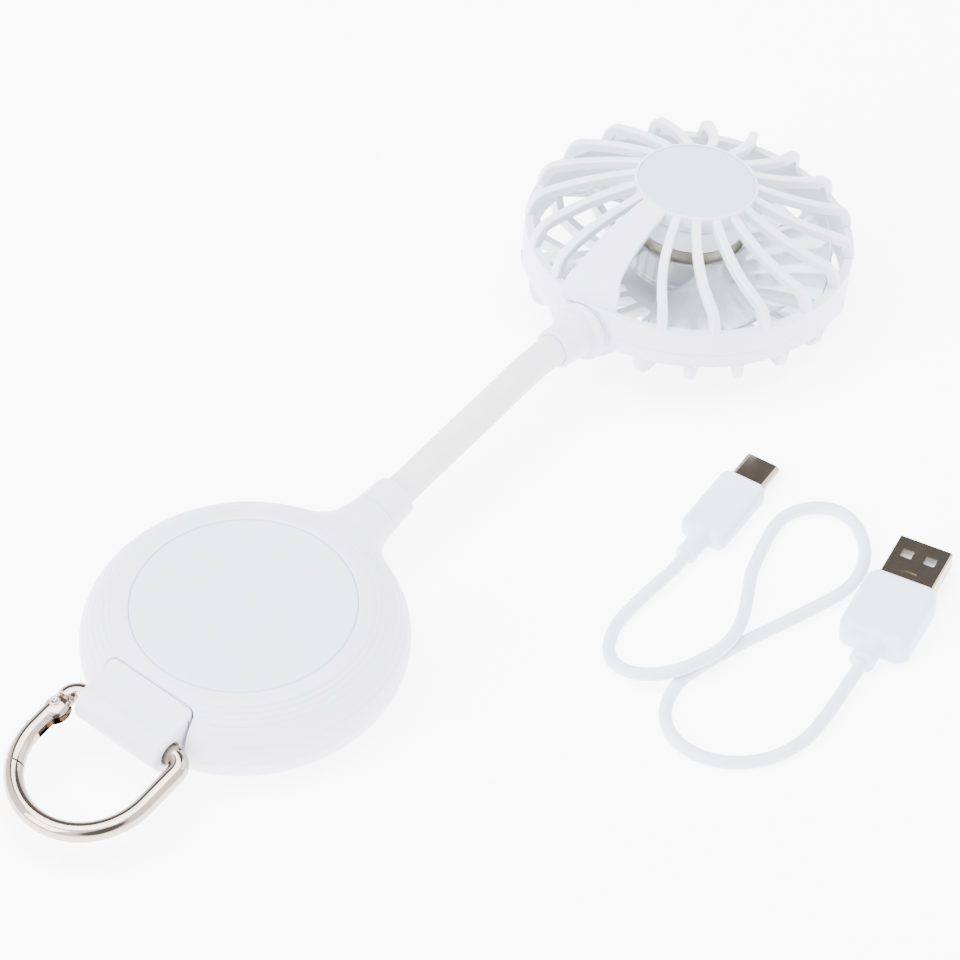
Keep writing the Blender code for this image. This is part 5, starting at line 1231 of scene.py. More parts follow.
@dataclass
class BaseHousing:
    """The round housing, with grip grooves, the flared root of the neck and a pocket for the clip loop."""

    plan: UndersidePlan = UndersidePlan()
    radius: float = 34.0
    height: float = 20.0
    wall: float = 2.0
    floor_rings: tuple[float, ...] = (0.0, 6.0, 13.0, 20.0)
    recess_radius: float = 23.4
    recess_floor: float = 18.3
    recess_corner: float = 0.2
    recess_middle: float = 12.0
    recess_lip: Outline = ((0.18, 0.07), (0.05, 0.2), (0.0, 0.42))
    ceiling: float = 16.3
    lip: float = 0.4
    groove_radii: tuple[float, ...] = (33.0, 31.9, 30.7, 29.55, 28.35, 27.15)
    groove_depth: float = 0.17
    groove_half_width: float = 0.32
    groove_ends_deg: tuple[Pair, Pair] = ((10.0, 15.0), (152.0, 157.0))
    seam_offsets: tuple[float, ...] = (0.07, 0.14, 0.3, 0.45)
    seam_depth: float = 0.07
    seam_half_width: float = 0.14
    boss_start: float = 26.0
    boss_length: float = 14.5
    boss_radius: float = 5.3
    boss_flare: float = 7.7
    boss_flare_power: float = 1.8
    boss_rise: float = 1.2
    boss_rise_power: float = 1.6
    boss_edge: float = 0.3
    boss_fillet: float = 2.4
    search_reach: float = 1.6
    search_steps: int = 26
    hollow_heights: tuple[float, ...] = (2.0, 2.3, 3.0, 4.5, 7.0, 10.0, 13.0, 15.2)
    hollow_ends: Pair = (-22.6, 27.0)
    pocket_floor: float = 7.0
    pocket_height: float = 18.0
    pocket_mouth: Pair = (-26.35, 11.5)
    pocket_edge: Pair = (-42.0, 14.7)
    pocket_corners: Pair = (2.0, 1.9)
    hole_depth: float = 2.5
    button_hole: float = 6.3
    lens_hole: float = 1.8
    screw_hole: float = 2.55
    screw_hole_depth: float = 1.7
    port_half: Pair = (4.8, 1.9)
    port_corner: float = 1.88
    port_stations: Outline = ((30.0, 0.0), (33.0, 0.0), (33.35, -0.05), (33.8, -0.3), (36.0, -0.3))
    panel_radius: float = 23.37
    panel_bottom: float = 18.6
    panel_taper: float = 0.01
    panel_edge: float = 0.5
    collar_ends: Pair = (40.5, 47.4)
    collar_radii: Pair = (5.24, 4.7)
    collar_bore: float = 3.56

    def profile(self) -> list[Pair]:
        """List the outer profile from the middle of the underside to the lip of the recess.

        Returns:
            Points as (radius, height).
        """
        middle = self.height / 2.0
        flat = self.radius - middle
        offsets = [-offset for offset in reversed(self.seam_offsets)] + [0.0, *self.seam_offsets]
        seam = [math.degrees(math.asin(offset / middle)) for offset in offsets]
        low = spread(-90.0, -4.0, 26)
        high = spread(3.2, 90.0, 104)
        points = [(ring, 0.0) for ring in self.floor_rings]
        for angle in low + seam + high:
            turn = math.radians(angle)
            points.append((flat + middle * math.cos(turn), middle + middle * math.sin(turn)))
        edge = self.recess_radius + self.lip
        points = [point for point in points if point[1] < middle or point[0] > edge + 0.05]
        return [*points, (edge, self.height)]

    def body_distance(self, points: np.ndarray) -> np.ndarray:
        """Work out signed distances to the housing and the neck's root.

        Args:
            points: Points as rows, in millimetres.

        Returns:
            The distances, negative inside.
        """
        middle = self.height / 2.0
        flat = self.radius - middle
        across = np.hypot(points[:, 0], points[:, 1])
        body = np.hypot(np.maximum(across - flat, 0.0), points[:, 2] - middle) - middle
        local = points @ np.array(NECK_AXES.inverted().to_3x3().transposed())
        local = local + np.array(NECK_AXES.inverted().translation)
        share = np.clip((local[:, 0] - self.boss_start) / self.boss_length, 0.0, 1.0)
        width = self.boss_radius + self.boss_flare * (1.0 - share) ** self.boss_flare_power
        height = self.boss_radius + self.boss_rise * (1.0 - share ** self.boss_rise_power)
        side = (np.hypot(local[:, 1] / width, local[:, 2] / height) - 1.0) * np.minimum(width, height)
        end = local[:, 0] - self.boss_start - self.boss_length
        root = -soft_union(-side, -end, self.boss_edge)
        boss = np.where(local[:, 0] > self.boss_start / 2.0, root, self.radius)
        return soft_union(body, boss, self.boss_fillet)

    def press(self, radius: float, height: float) -> float:
        """Give how deep the grooves and the seam press into the wall.

        Args:
            radius: Radius of the wall there.
            height: Height of the wall there.

        Returns:
            The depth.
        """
        above = height - self.height / 2.0
        if above > 1.0:
            return sum(self.groove_depth * (1.0 - ease(abs(radius - groove), 0.0, self.groove_half_width))
                       for groove in self.groove_radii)
        if abs(above) < self.seam_half_width:
            return self.seam_depth * (1.0 - abs(above) / self.seam_half_width)
        return 0.0

    def outer_rows(self, angles: Sequence[float]) -> list[np.ndarray]:
        """Push the profile out to the neck's root and press the grooves into it.

        Args:
            angles: Azimuths of the columns, in degrees.

        Returns:
            Rows of points from the underside to the lip of the recess.
        """
        middle = self.height / 2.0
        flat = self.radius - middle
        turns = np.radians(angles)
        near_end, far_end = self.groove_ends_deg
        open_side = np.array([ease(abs(angle), *near_end) * (1.0 - ease(abs(angle), *far_end))
                              for angle in angles])

        def ring(radius: float, height: float) -> np.ndarray:
            """Give a ring's points, with heights from the middle of the wall."""
            return np.stack([radius * np.cos(turns), radius * np.sin(turns),
                             np.full(len(turns), height - middle)], axis=1)

        rows = []
        for radius, height in self.profile():
            away = ring(radius, height)
            near, far = np.full(len(turns), 1.0), np.full(len(turns), self.search_reach)
            if radius > flat and 1.0 < height < self.height - 0.2:
                for _ in range(self.search_steps):
                    half = (near + far) / 2.0
                    inside = self.body_distance(away * half[:, None] + (0.0, 0.0, middle)) <= 0.0
                    near, far = np.where(inside, half, near), np.where(inside, far, half)
            outward = ring(radius - flat, height) / middle
            depth = self.press(radius, height) * open_side
            rows.append(away * near[:, None] + (0.0, 0.0, middle) - outward * depth[:, None])
        return rows

    def cavity(self) -> Piece:
        """Model the hollow inside, which stays clear of the pocket and the neck's root.

        Returns:
            The cutter.
        """
        skin = Skin()
        rows = []
        middle = self.height / 2.0
        inner = middle - self.wall
        for height in (*self.hollow_heights, self.ceiling):
            reach = self.radius - middle + math.sqrt(max(inner ** 2 - (height - middle) ** 2, 0.0))
            low, high = self.hollow_ends
            rows.append([(min(max(x, low), high), y, height) for x, y in circle(reach, 72)])
        skin.loft(rows)
        return skin.piece("hollow", level_normals=False)

    def cutters(self) -> list[Piece]:
        """Model the hollow, the pocket and the openings of the underside and the side.

        Returns:
            The cutters.
        """
        (mouth, mouth_half), (edge, edge_half) = self.pocket_mouth, self.pocket_edge
        plan = rounded([(mouth, mouth_half), (edge, edge_half), (edge, -edge_half), (mouth, -mouth_half)],
                       [self.pocket_corners[0], 0.0, 0.0, self.pocket_corners[1]], True, 8)
        pocket = Skin()
        pocket.bar(plan, [(self.pocket_floor + height, depth) for depth, height in
                          ((0.5, 0.0), (0.15, 0.15), (0.0, 0.5), (0.0, self.pocket_height))], Axis.Z)
        bodies = [self.cavity(), pocket.piece("pocket", level_normals=False)]
        for name, along, radius in (("button_hole", self.plan.button, self.button_hole),
                                    ("lens_hole", self.plan.lens, self.lens_hole)):
            hole = Skin()
            hole.turn([(0.0, -1.0), (radius + 0.3, -1.0), (radius + 0.3, 0.0), (radius + 0.09, 0.09),
                       (radius, 0.3), (radius, self.hole_depth), (0.0, self.hole_depth)], 96,
                      axes=Matrix.Translation((along, 0.0, 0.0)))
            bodies.append(hole.piece(name, level_normals=False))
        for seat in self.plan.seats():
            radius, depth = self.screw_hole, self.screw_hole_depth
            hole = Skin()
            hole.turn([(0.0, -1.0), (radius + 0.2, -1.0), (radius + 0.2, 0.0), (radius, 0.2), (radius, depth),
                       (0.0, depth)], 64, axes=seat)
            bodies.append(hole.piece("screw_seat", level_normals=False))
        port = Skin()
        port.bar(rounded_box_section(*self.port_half, self.port_corner, 10), self.port_stations, Axis.Y,
                 self.plan.port_height)
        bodies.append(port.piece("port_hole", level_normals=False))
        return bodies

    def recess(self) -> list[Pair]:
        """List the recess's profile below its lip.

        Returns:
            Points as (radius, height), out to in.
        """
        radius, floor, corner = self.recess_radius, self.recess_floor, self.recess_corner
        lip = [(radius + out, self.height - drop) for out, drop in self.recess_lip]
        return [*lip, (radius, floor + corner), (radius - corner, floor), (self.recess_middle, floor)]

    def build_housing(self) -> None:
        """Model the housing, both shells in one, and carve its openings."""
        step, fine_step = ((1.0, 0.4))
        fine = 16.0
        angles = [*np.arange(-180.0 + step, -fine, step), *np.arange(-fine, fine, fine_step),
                  *np.arange(fine, 180.0 + step / 2.0, step)]
        skin = Skin()
        rows = [skin.row(row) for row in self.outer_rows(angles)]
        bmesh.ops.pointmerge(skin.cage, verts=rows[0], merge_co=rows[0][0].co)
        skin.cage.verts.ensure_lookup_table()
        rows[0] = [vert for vert in skin.cage.verts if vert.co.length < TINY]
        turns = np.radians(angles)
        for radius, height in self.recess():
            rows.append(skin.row(np.stack([radius * np.cos(turns), radius * np.sin(turns),
                                           np.full(len(turns), height)], axis=1)))
        rows.append(skin.row([(0.0, 0.0, self.recess_floor)]))
        for low, high in zip(rows, rows[1:]):
            skin.bridge(low, high)
        housing = carve(skin.piece("base_housing", crease_deg=38.0), self.cutters(), crease_deg=38.0)
        place(housing, SHELL, Body.BASE, Slot.SHELL, ["base_top_shell", "base_bottom_shell"])

    def build(self) -> None:
        """Build the housing, its round panel and the end ring of its neck."""
        self.build_housing()
        panel = Skin()
        bottom, top, radius = self.panel_bottom, self.height, self.panel_radius
        outline = [(0.0, bottom), (radius - self.panel_taper, bottom), (radius, top), (0.0, top)]
        panel.turn(rounded(outline, [0.0, 0.2, self.panel_edge, 0.0]), 192)
        place(panel.piece("round_panel"), PANEL_PAINTED_SHADE, Body.BASE, Slot.SHELL, ["top_panel"])
        collar = Skin()
        bore, (root, tip), (wide, slim) = self.collar_bore, self.collar_ends, self.collar_radii
        outline = [(bore, root), (wide, root), (slim, tip), (bore, tip)]
        collar.turn(rounded(outline, [0.05, 0.14, 0.55, 0.2], True, 7), 96, looped=True, axes=ALONG_X)
        place(collar.piece("base_neck_collar", NECK_AXES), SHELL, Body.BASE, Slot.SHELL, ["base_collar"])


@dataclass
class Underside:
    """What shows on the base's underside and side: button, lens, screws and charging port."""

    plan: UndersidePlan = UndersidePlan()
    button_radius: float = 6.0
    button_face: float = 0.3
    dish_depth: float = 0.22
    flange_radius: float = 7.0
    flange_heights: Pair = (2.3, 2.8)
    stem_radius: float = 1.0
    stem_top: float = 3.1
    lens_radius: float = 1.5
    lens_face: float = 0.3
    lens_dome: float = 0.4
    lens_top: float = 4.0
    recess_half: Pair = (1.2, 0.25)
    recess_heights: Pair = (0.2, 1.15)
    recess_turn: float = 0.3
    screw_profile: Outline = ((0.0, 0.62), (1.5, 0.64), (2.0, 0.75), (2.2, 1.0), (2.2, 1.68),
                              (1.15, 1.68), (1.15, 5.5), (0.6, 6.0), (0.0, 6.0))
    port_half: Pair = (4.5, 1.6)
    port_corner: float = 1.58
    port_stations: Outline = ((25.7, 0.0), (32.85, 0.0), (33.0, 0.12), (33.0, 0.28), (32.85, 0.4),
                              (26.5, 0.4))
    tongue_half: Pair = (3.3, 0.35)
    tongue_corner: float = 0.12
    tongue_stations: Outline = ((26.4, 0.0), (31.8, 0.0), (32.0, 0.15))

    def build_button(self) -> None:
        """Model the button with a shallow dish in its face."""
        skin = Skin()
        radius, face = self.button_radius, self.button_face
        low, high = self.flange_heights
        profile = [(radius * share, face + self.dish_depth * (1.0 - share ** 2))
                   for share in spread(0.0, 0.88, 8)]
        profile += [(radius - 0.25, face), (radius - 0.07, face + 0.08), (radius, face + 0.25), (radius, low),
                    (self.flange_radius, low), (self.flange_radius, high), (self.stem_radius, high),
                    (self.stem_radius, self.stem_top), (0.0, self.stem_top)]
        skin.turn(profile, 96, axes=Matrix.Translation((self.plan.button, 0.0, 0.0)))
        place(skin.piece("button_cap"), KEY, Body.BUTTON, Slot.HUB_PLATE, ["power_button"])

    def build_lens(self) -> None:
        """Model the domed lens of the indicator."""
        skin = Skin()
        radius, face = self.lens_radius, self.lens_face
        dome = [(radius * math.sin(turn), face + self.lens_dome * (1.0 - math.cos(turn)))
                for turn in quarter(8)]
        skin.turn(dome + [(radius, self.lens_top), (0.0, self.lens_top)], 48,
                  axes=Matrix.Translation((self.plan.lens, 0.0, 0.0)))
        place(skin.piece("indicator_dome"), LENS, Body.BASE, Slot.CLEAR, ["indicator_lens"])

    def build_screws(self) -> None:
        """Model the screws, each with a cross recess."""
        (long, short), (low, high) = self.recess_half, self.recess_heights
        for index, seat in enumerate(self.plan.seats()):
            skin = Skin()
            skin.turn(self.screw_profile, 48, axes=seat)
            screw = skin.piece(f"base_screw_head_{index + 1}")
            arms = seat @ Matrix.Rotation(self.recess_turn + index, 4, "Z")
            carve(screw, [block("recess", (-x, -y, low), (x, y, high), arms)
                          for x, y in ((long, short), (short, long))])
            place(screw, SCREW_STEEL, Body.BASE, Slot.STEEL, [f"base_screw_{index + 1}"])

    def build_port(self) -> None:
        """Model the charging port's metal shell with its tongue."""
        skin = Skin()
        skin.bar(rounded_box_section(*self.port_half, self.port_corner, 10), self.port_stations, Axis.Y,
                 self.plan.port_height)
        skin.bar(rounded_box_section(*self.tongue_half, self.tongue_corner, 3), self.tongue_stations, Axis.Y,
                 self.plan.port_height)
        place(skin.piece("charging_port_shell"), PLUG_METAL_PAINTED_REFLECTION, Body.BASE, Slot.STEEL, ["charging_port"])

    def build(self) -> None:
        """Build all of them."""
        self.build_button()
        self.build_lens()
        self.build_screws()
        self.build_port()


# Clip loop and snap hook


@dataclass
class ClipLoop:
    """The loop at the base's edge through which the snap hook's bar runs."""

    radius: float = 4.5
    reach: float = 7.6
    rise: float = 1.9
    half_width: float = 11.4
    corner: float = 0.8
    top_corner: float = 0.4
    turn: float = 2.2
    side_depths: tuple[float, ...] = (1.1, 1.5, 2.0, 2.6)
    side_draw_share: float = 0.8
    channel: float = 2.6
    channel_flare: float = 0.5
    outline_points: int = 150
    stem_half: Pair = (6.0, 1.2)
    stem_ends: Pair = (6.6, 10.4)
    foot_half: Pair = (8.0, 2.4)
    foot_ends: Pair = (10.1, 11.3)

    def build_loop(self, axes: Matrix) -> Piece:
        """Model the loop with its drawn-in sides.

        Args:
            axes: Axes at the middle of the channel.

        Returns:
            The loop, without its channel.
        """
        low, top, corner = -self.radius, self.radius + self.rise, self.corner
        outline = arc((0.0, 0.0), self.radius, 90.0, 270.0, 28)
        outline += rounded([(0.0, low), (self.reach, low), (self.reach, top), (0.0, self.radius)],
                           [0.0, corner, self.top_corner, 0.0], False, 6)
        plan = resampled(outline, self.outline_points)
        bands = [(corner * (1.0 - math.cos(turn)), corner * (1.0 - math.sin(turn))) for turn in quarter(6)]
        bands += [(depth, 0.0) for depth in self.side_depths]
        rows = []
        for side in (-1.0, 1.0):
            band = []
            for depth, pulled in bands:
                gone = self.turn - math.sqrt(self.turn ** 2 - max(self.turn - depth, 0.0) ** 2)
                share = 1.0 - self.side_draw_share * gone / self.reach
                band.append([(x * share if x > 0.0 else x, side * (self.half_width - depth), z)
                             for x, z in inset(plan, pulled)])
            rows += band if side < 0.0 else band[::-1]
        skin = Skin()
        skin.loft(rows)
        return skin.piece("clip_loop_body", axes, 50.0)

    def build(self) -> None:
        """Model the loop, with its channel and the stem that holds it."""
        axes = Matrix.Translation(Vector(HOOK_BAR))
        loop = self.build_loop(axes)
        end = self.half_width + 2.0
        flare = [(self.channel + self.channel_flare * (1.0 - math.sin(turn)),
                  self.half_width - self.channel_flare * (1.0 - math.cos(turn))) for turn in quarter(5)]
        profile = [(0.0, end), (flare[0][0], end)] + flare
        bore = Skin()
        bore.turn(profile + mirrored(profile), 72, axes=ALONG_Y)
        carve(loop, [bore.piece("channel", axes)], crease_deg=50.0)
        place(loop, SHELL, Body.BASE, Slot.SHELL, ["clip_loop"])
        stem = Skin()
        stem.bar(rounded_box_section(*self.stem_half, 0.2, 2), [(x, 0.0) for x in self.stem_ends])
        stem.bar(rounded_box_section(*self.foot_half, 0.3, 2), [(x, 0.0) for x in self.foot_ends])
        place(stem.piece("clip_stem", axes), SHELL, Body.BASE, Slot.SHELL)


@dataclass
class SnapHook:
    """A wire hook in the shape of a D, with a sprung gate that closes it."""

    wire: float = 2.1
    half_width: float = 15.2
    corner: float = 3.0
    side_length: float = 9.0
    pin_place: float = 5.5
    pin_hole: float = 0.9
    nose_deg: float = 57.0
    lap_deg: float = 8.0
    nose_gap: float = 0.4
    nose_spread_deg: float = 14.0
    tongue_half: float = 0.75
    tongue_back: float = 2.2
    slot_gap: float = 0.3
    slot_end: float = 3.0
    slot_reach: float = 4.0
    channel_top: float = 0.9
    spring_length: float = 4.0
    spring_turns: int = 9
    spring_radius: float = 0.42
    spring_wire: float = 0.13
    spring_end: float = 0.15
    bulb_half: Pair = (3.4, 2.9)
    bulb_place: Sequence[float] = (0.5, -0.55, 0.0)
    bulb_swell: float = 1.02
    bulb_power: float = 0.8
    cut_reach: float = 3.0
    end_share: float = 0.96
    sides: int = 36

    def pin_axes(self) -> Matrix:
        """Give axes at the gate's pin."""
        return HOOK_AXES @ Matrix.Translation((self.pin_place, self.half_width, 0.0))

    def pin_cutter(self) -> Piece:
        """Make the cutter of the pin's hole."""
        return self.flat("pin_hole", circle(self.pin_hole, 24), self.cut_reach, self.pin_axes())

    def nose_cutter(self, inner: float, outer: float, steps: Sequence[int]) -> Piece:
        """Make a cutter that ends a wire along an arc about the pin.

        Args:
            inner: Radius of the first arc.
            outer: Radius of the second arc, walked back.
            steps: Gaps between points along both arcs.

        Returns:
            The cutter.
        """
        _, turn = self.nose()
        low, high = turn - self.nose_spread_deg, turn + self.nose_spread_deg
        outline = arc((0.0, 0.0), inner, low, high, steps[0]) + arc((0.0, 0.0), outer, high, low, steps[1])
        return self.flat("nose_cut", outline, self.cut_reach, self.pin_axes())

    def nose(self) -> Pair:
        """Work out where the nose joint is.

        Returns:
            Its distance and direction from the pin.
        """
        middle = self.corner + self.side_length
        x = middle + self.half_width * math.cos(math.radians(self.nose_deg)) - self.pin_place
        y = self.half_width * (math.sin(math.radians(self.nose_deg)) - 1.0)
        return math.hypot(x, y), math.degrees(math.atan2(y, x))

    def wire_tube(self, path: Sequence[Pair], blunt: float) -> Skin:
        """Run round wire along a flat path, with rounded ends.

        Args:
            path: Points of the path.
            blunt: Share of the wire's radius that each rounded end runs out.

        Returns:
            The skin of the wire.
        """
        points = [Vector((x, y, 0.0)) for x, y in path]
        ends = []
        for here, inner in ((points[0], points[1]), (points[-1], points[-2])):
            out = (here - inner).normalized()
            ends.append([(here + out * (self.wire * blunt * math.sin(turn)), math.cos(turn))
                         for turn in spread(0.0, math.pi / 2.0 * self.end_share, 6)[1:]])
        stations = [*reversed(ends[0]), *((point, 1.0) for point in points), *ends[1]]
        skin = Skin()
        skin.sweep([point for point, _ in stations],
                   [circle(self.wire * scale, self.sides) for _, scale in stations], Vector((0.0, 0.0, 1.0)))
        return skin

    def flat(self, name: str, outline: Sequence[Pair], half: float, axes: Matrix) -> Piece:
        """Make a flat body from an outline.

        Args:
            name: Name of the body.
            outline: Its outline.
            half: Half of its thickness.
            axes: Local axes.

        Returns:
            The body.
        """
        skin = Skin()
        skin.bar(outline, [(-half, 0.0), (half, 0.0)], Axis.Z)
        return skin.piece(name, axes, level_normals=False)

    def build_body(self) -> None:
        """Model the hook's body with the tongue that the gate turns on."""
        middle = self.corner + self.side_length
        bar = self.half_width - self.corner
        path = arc((middle, 0.0), self.half_width, self.nose_deg + self.lap_deg, -90.0, 64)
        path += [(middle - self.side_length * share, -self.half_width) for share in spread(0.0, 1.0, 6)[1:-1]]
        path += arc((self.corner, -bar), self.corner, 270.0, 180.0, 12)
        path += [(0.0, bar * share) for share in spread(-1.0, 1.0, 16)[1:-1]]
        path += arc((self.corner, bar), self.corner, 180.0, 92.0, 12)
        body = self.wire_tube(path, 0.25).piece("hook_wire", HOOK_AXES, 40.0)
        root, neck = -self.wire - self.tongue_back, self.wire - 0.1
        side = [(root, 1.6), (0.0, neck), (1.0, 1.9)]
        outline = rounded([(x, -y) for x, y in side] + [(1.9, 0.0)] + side[::-1],
                          [0.3, 1.0, 1.0, 1.2, 1.0, 1.0, 0.3], True, 5)
        carve(body, [self.flat("tongue", outline, self.tongue_half, self.pin_axes())], Cut.JOIN, 40.0)
        reach, _ = self.nose()
        carve(body, [self.nose_cutter(reach + self.nose_gap, reach - 2.0 * self.wire, (24, 12)),
                     self.pin_cutter()], crease_deg=40.0)
        place(body, NICKEL, Body.HOOK, Slot.NICKEL, ["snap_hook_body"])

    def gate_bulb(self) -> Piece:
        """Model the wider end of the gate, round its pin.

        Returns:
            The body that is joined to the gate.
        """
        long, short = self.bulb_half
        ball = [(math.cos(turn), self.wire * self.bulb_swell * math.sin(turn) ** self.bulb_power)
                for turn in quarter(12)]
        skin = Skin()
        skin.turn([(long * radius, height) for radius, height in mirrored(ball) + ball[1:]], 48)
        spot = self.pin_axes() @ Matrix.Translation(Vector(self.bulb_place))
        return skin.piece("gate_bulb", spot @ Matrix.Diagonal((1.0, short / long, 1.0, 1.0)))

    def build_gate(self) -> None:
        """Model the gate, forked round the tongue and slotted for its spring."""
        middle = self.corner + self.side_length - self.pin_place
        path = [(middle * share, 0.0) for share in spread(0.0, 1.0, 8)[:-1]]
        path += arc((middle, -self.half_width), self.half_width, 90.0, self.nose_deg - self.lap_deg, 32)
        pin = self.pin_axes()
        gate = self.wire_tube(path, 1.0).piece("hook_gate", pin, 40.0)
        carve(gate, [self.gate_bulb()], Cut.JOIN, 40.0)
        slot, side, end = self.tongue_half + self.slot_gap, self.slot_reach, self.slot_end
        fork = [(-side, -side), (end, -side), (end, 0.0), (end, side), (-side, side)]
        end += self.spring_length + self.slot_gap
        channel = rounded([(0.0, -side), (end, -side), (end, self.channel_top), (0.0, self.channel_top)],
                          [0.0, 0.8, 0.8, 0.0], True)
        reach, _ = self.nose()
        carve(gate, [self.flat("fork", fork, slot, pin), self.flat("channel", channel, slot * 0.999, pin),
                     self.pin_cutter(), self.nose_cutter(reach + 2.0 * self.wire, reach, (12, 24))],
              crease_deg=40.0)
        place(gate, NICKEL, Body.GATE, Slot.NICKEL, ["snap_hook_gate"])

    def build_pin(self) -> None:
        """Model the riveted pin, with a dimple in each head."""
        skin = Skin()
        head = [(0.0, 1.95), (0.28, 1.98), (0.55, 2.22), (0.75, 2.36), (1.0, 2.33), (1.17, 2.18), (1.2, 2.0),
                (0.7, 1.7)]
        skin.turn(head + mirrored(head), 48)
        place(skin.piece("hook_rivet", self.pin_axes()), NICKEL, Body.HOOK, Slot.STEEL, ["gate_pin"])

    def build_spring(self) -> None:
        """Model the gate's coil spring."""
        points = []
        for share in spread(0.0, 1.0, self.spring_turns * 20):
            turn = 2.0 * math.pi * self.spring_turns * share
            along = self.slot_end + self.spring_end + (self.spring_length - 2.0 * self.spring_end) * share
            points.append(Vector((along, self.spring_radius * math.cos(turn),
                                  self.spring_radius * math.sin(turn))))
        skin = Skin()
        skin.sweep(points, [circle(self.spring_wire, 8)] * len(points), Vector((1.0, 0.0, 0.0)))
        spring = skin.piece("hook_spring", self.pin_axes())
        place(spring, SPRING_STEEL, Body.GATE, Slot.STEEL, ["gate_spring"])

    def build(self) -> None:
        """Build the hook."""
        self.build_body()
        self.build_gate()
        self.build_pin()
        self.build_spring()


# Neck


@dataclass
class NeckSleeve:
    """The soft sleeve over the neck's links, in sections that each span one joint."""

    radius: float = 3.5
    first_joint: Pair = (50.323, 14.489)
    joint_step: Pair = (6.365, 0.669)
    last_joint: Pair = (94.912, 18.503)
    links: int = 7
    bend_half: float = 2.7
    rows_per_section: int = 20
    rows_per_joint: int = 24
    sides: int = 72
    hidden_end: float = 44.2
    base_ring: float = 47.4
    head_ring: float = 46.7

    def joints(self) -> list[Vector]:
        """List the places of the joints between the base, the links and the head.

        Returns:
            The places, from the base to the head.
        """
        places = [Vector((self.first_joint[0] + self.joint_step[0] * index, 0.0,
                          self.first_joint[1] + self.joint_step[1] * index)) for index in range(self.links)]
        return [*places, Vector((self.last_joint[0], 0.0, self.last_joint[1]))]

    def centreline(self) -> tuple[list[Vector], list[float]]:
        """Give the sleeve's dense centreline.

        Returns:
            The points, and the length from the start at each of them.
        """
        start = [NECK_AXES @ Vector((along, 0.0, 0.0)) for along in (self.hidden_end, self.base_ring)]
        end = [HEAD_NECK_AXES @ Vector((along, 0.0, 0.0)) for along in (self.head_ring, self.hidden_end)]
        path = smooth_path([*start, *self.joints(), *end], self.rows_per_joint)
        lengths = [0.0]
        for before, after in zip(path, path[1:]):
            lengths.append(lengths[-1] + (after - before).length)
        return path, lengths

    def meets(self, path: Sequence[Vector], lengths: Sequence[float]) -> list[float]:
        """List the lengths at which the sections meet, halfway between two joints.

        Args:
            path: The centreline.
            lengths: Length at each of its points.

        Returns:
            The lengths, both ends of the sleeve included.
        """
        joints = self.joints()
        meets = [0.0]
        for first, second in zip(joints, joints[1:]):
            middle = (first + second) / 2.0
            meets.append(lengths[min(range(len(path)), key=lambda index: (path[index] - middle).length)])
        return [*meets, lengths[-1]]

    def ring(self, path: Sequence[Vector], lengths: Sequence[float], along: float) -> list[Vector]:
        """Give the sleeve's ring of points at a length.

        Args:
            path: The centreline.
            lengths: Length at each of its points.
            along: Length from its start.

        Returns:
            The ring.
        """
        index = min(max(int(np.searchsorted(lengths, along)), 1), len(path) - 1)
        share = (along - lengths[index - 1]) / (lengths[index] - lengths[index - 1])
        point = path[index - 1].lerp(path[index], share)
        way = (path[min(index + 2, len(path) - 1)] - path[max(index - 3, 0)]).normalized()
        side = Vector((0.0, 1.0, 0.0))
        rise = way.cross(side)
        return [point + side * x + rise * y for x, y in circle(self.radius, self.sides)]

    def build(self) -> None:
        """Build the sections, each spanning its own joint."""
        path, lengths = self.centreline()
        meets = self.meets(path, lengths)
        joints = self.joints()
        links = [f"neck_link_{index}" for index in range(1, self.links + 1)]
        nodes = ["neck_anchor", *links, "neck_head_anchor"]
        for index, joint in enumerate(joints):
            skin = Skin()
            skin.loft([self.ring(path, lengths, along)
                       for along in spread(meets[index], meets[index + 1], self.rows_per_section)])
            section = skin.piece(f"neck_sleeve_{index + 1}", crease_deg=60.0, level_normals=False)
            section.data.materials.append(SLEEVE.material())
            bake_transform(section)
            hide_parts(nodes[index], nodes[index + 1])
        LOG.info("neck sleeve: %d sections", len(joints))


# Fan head


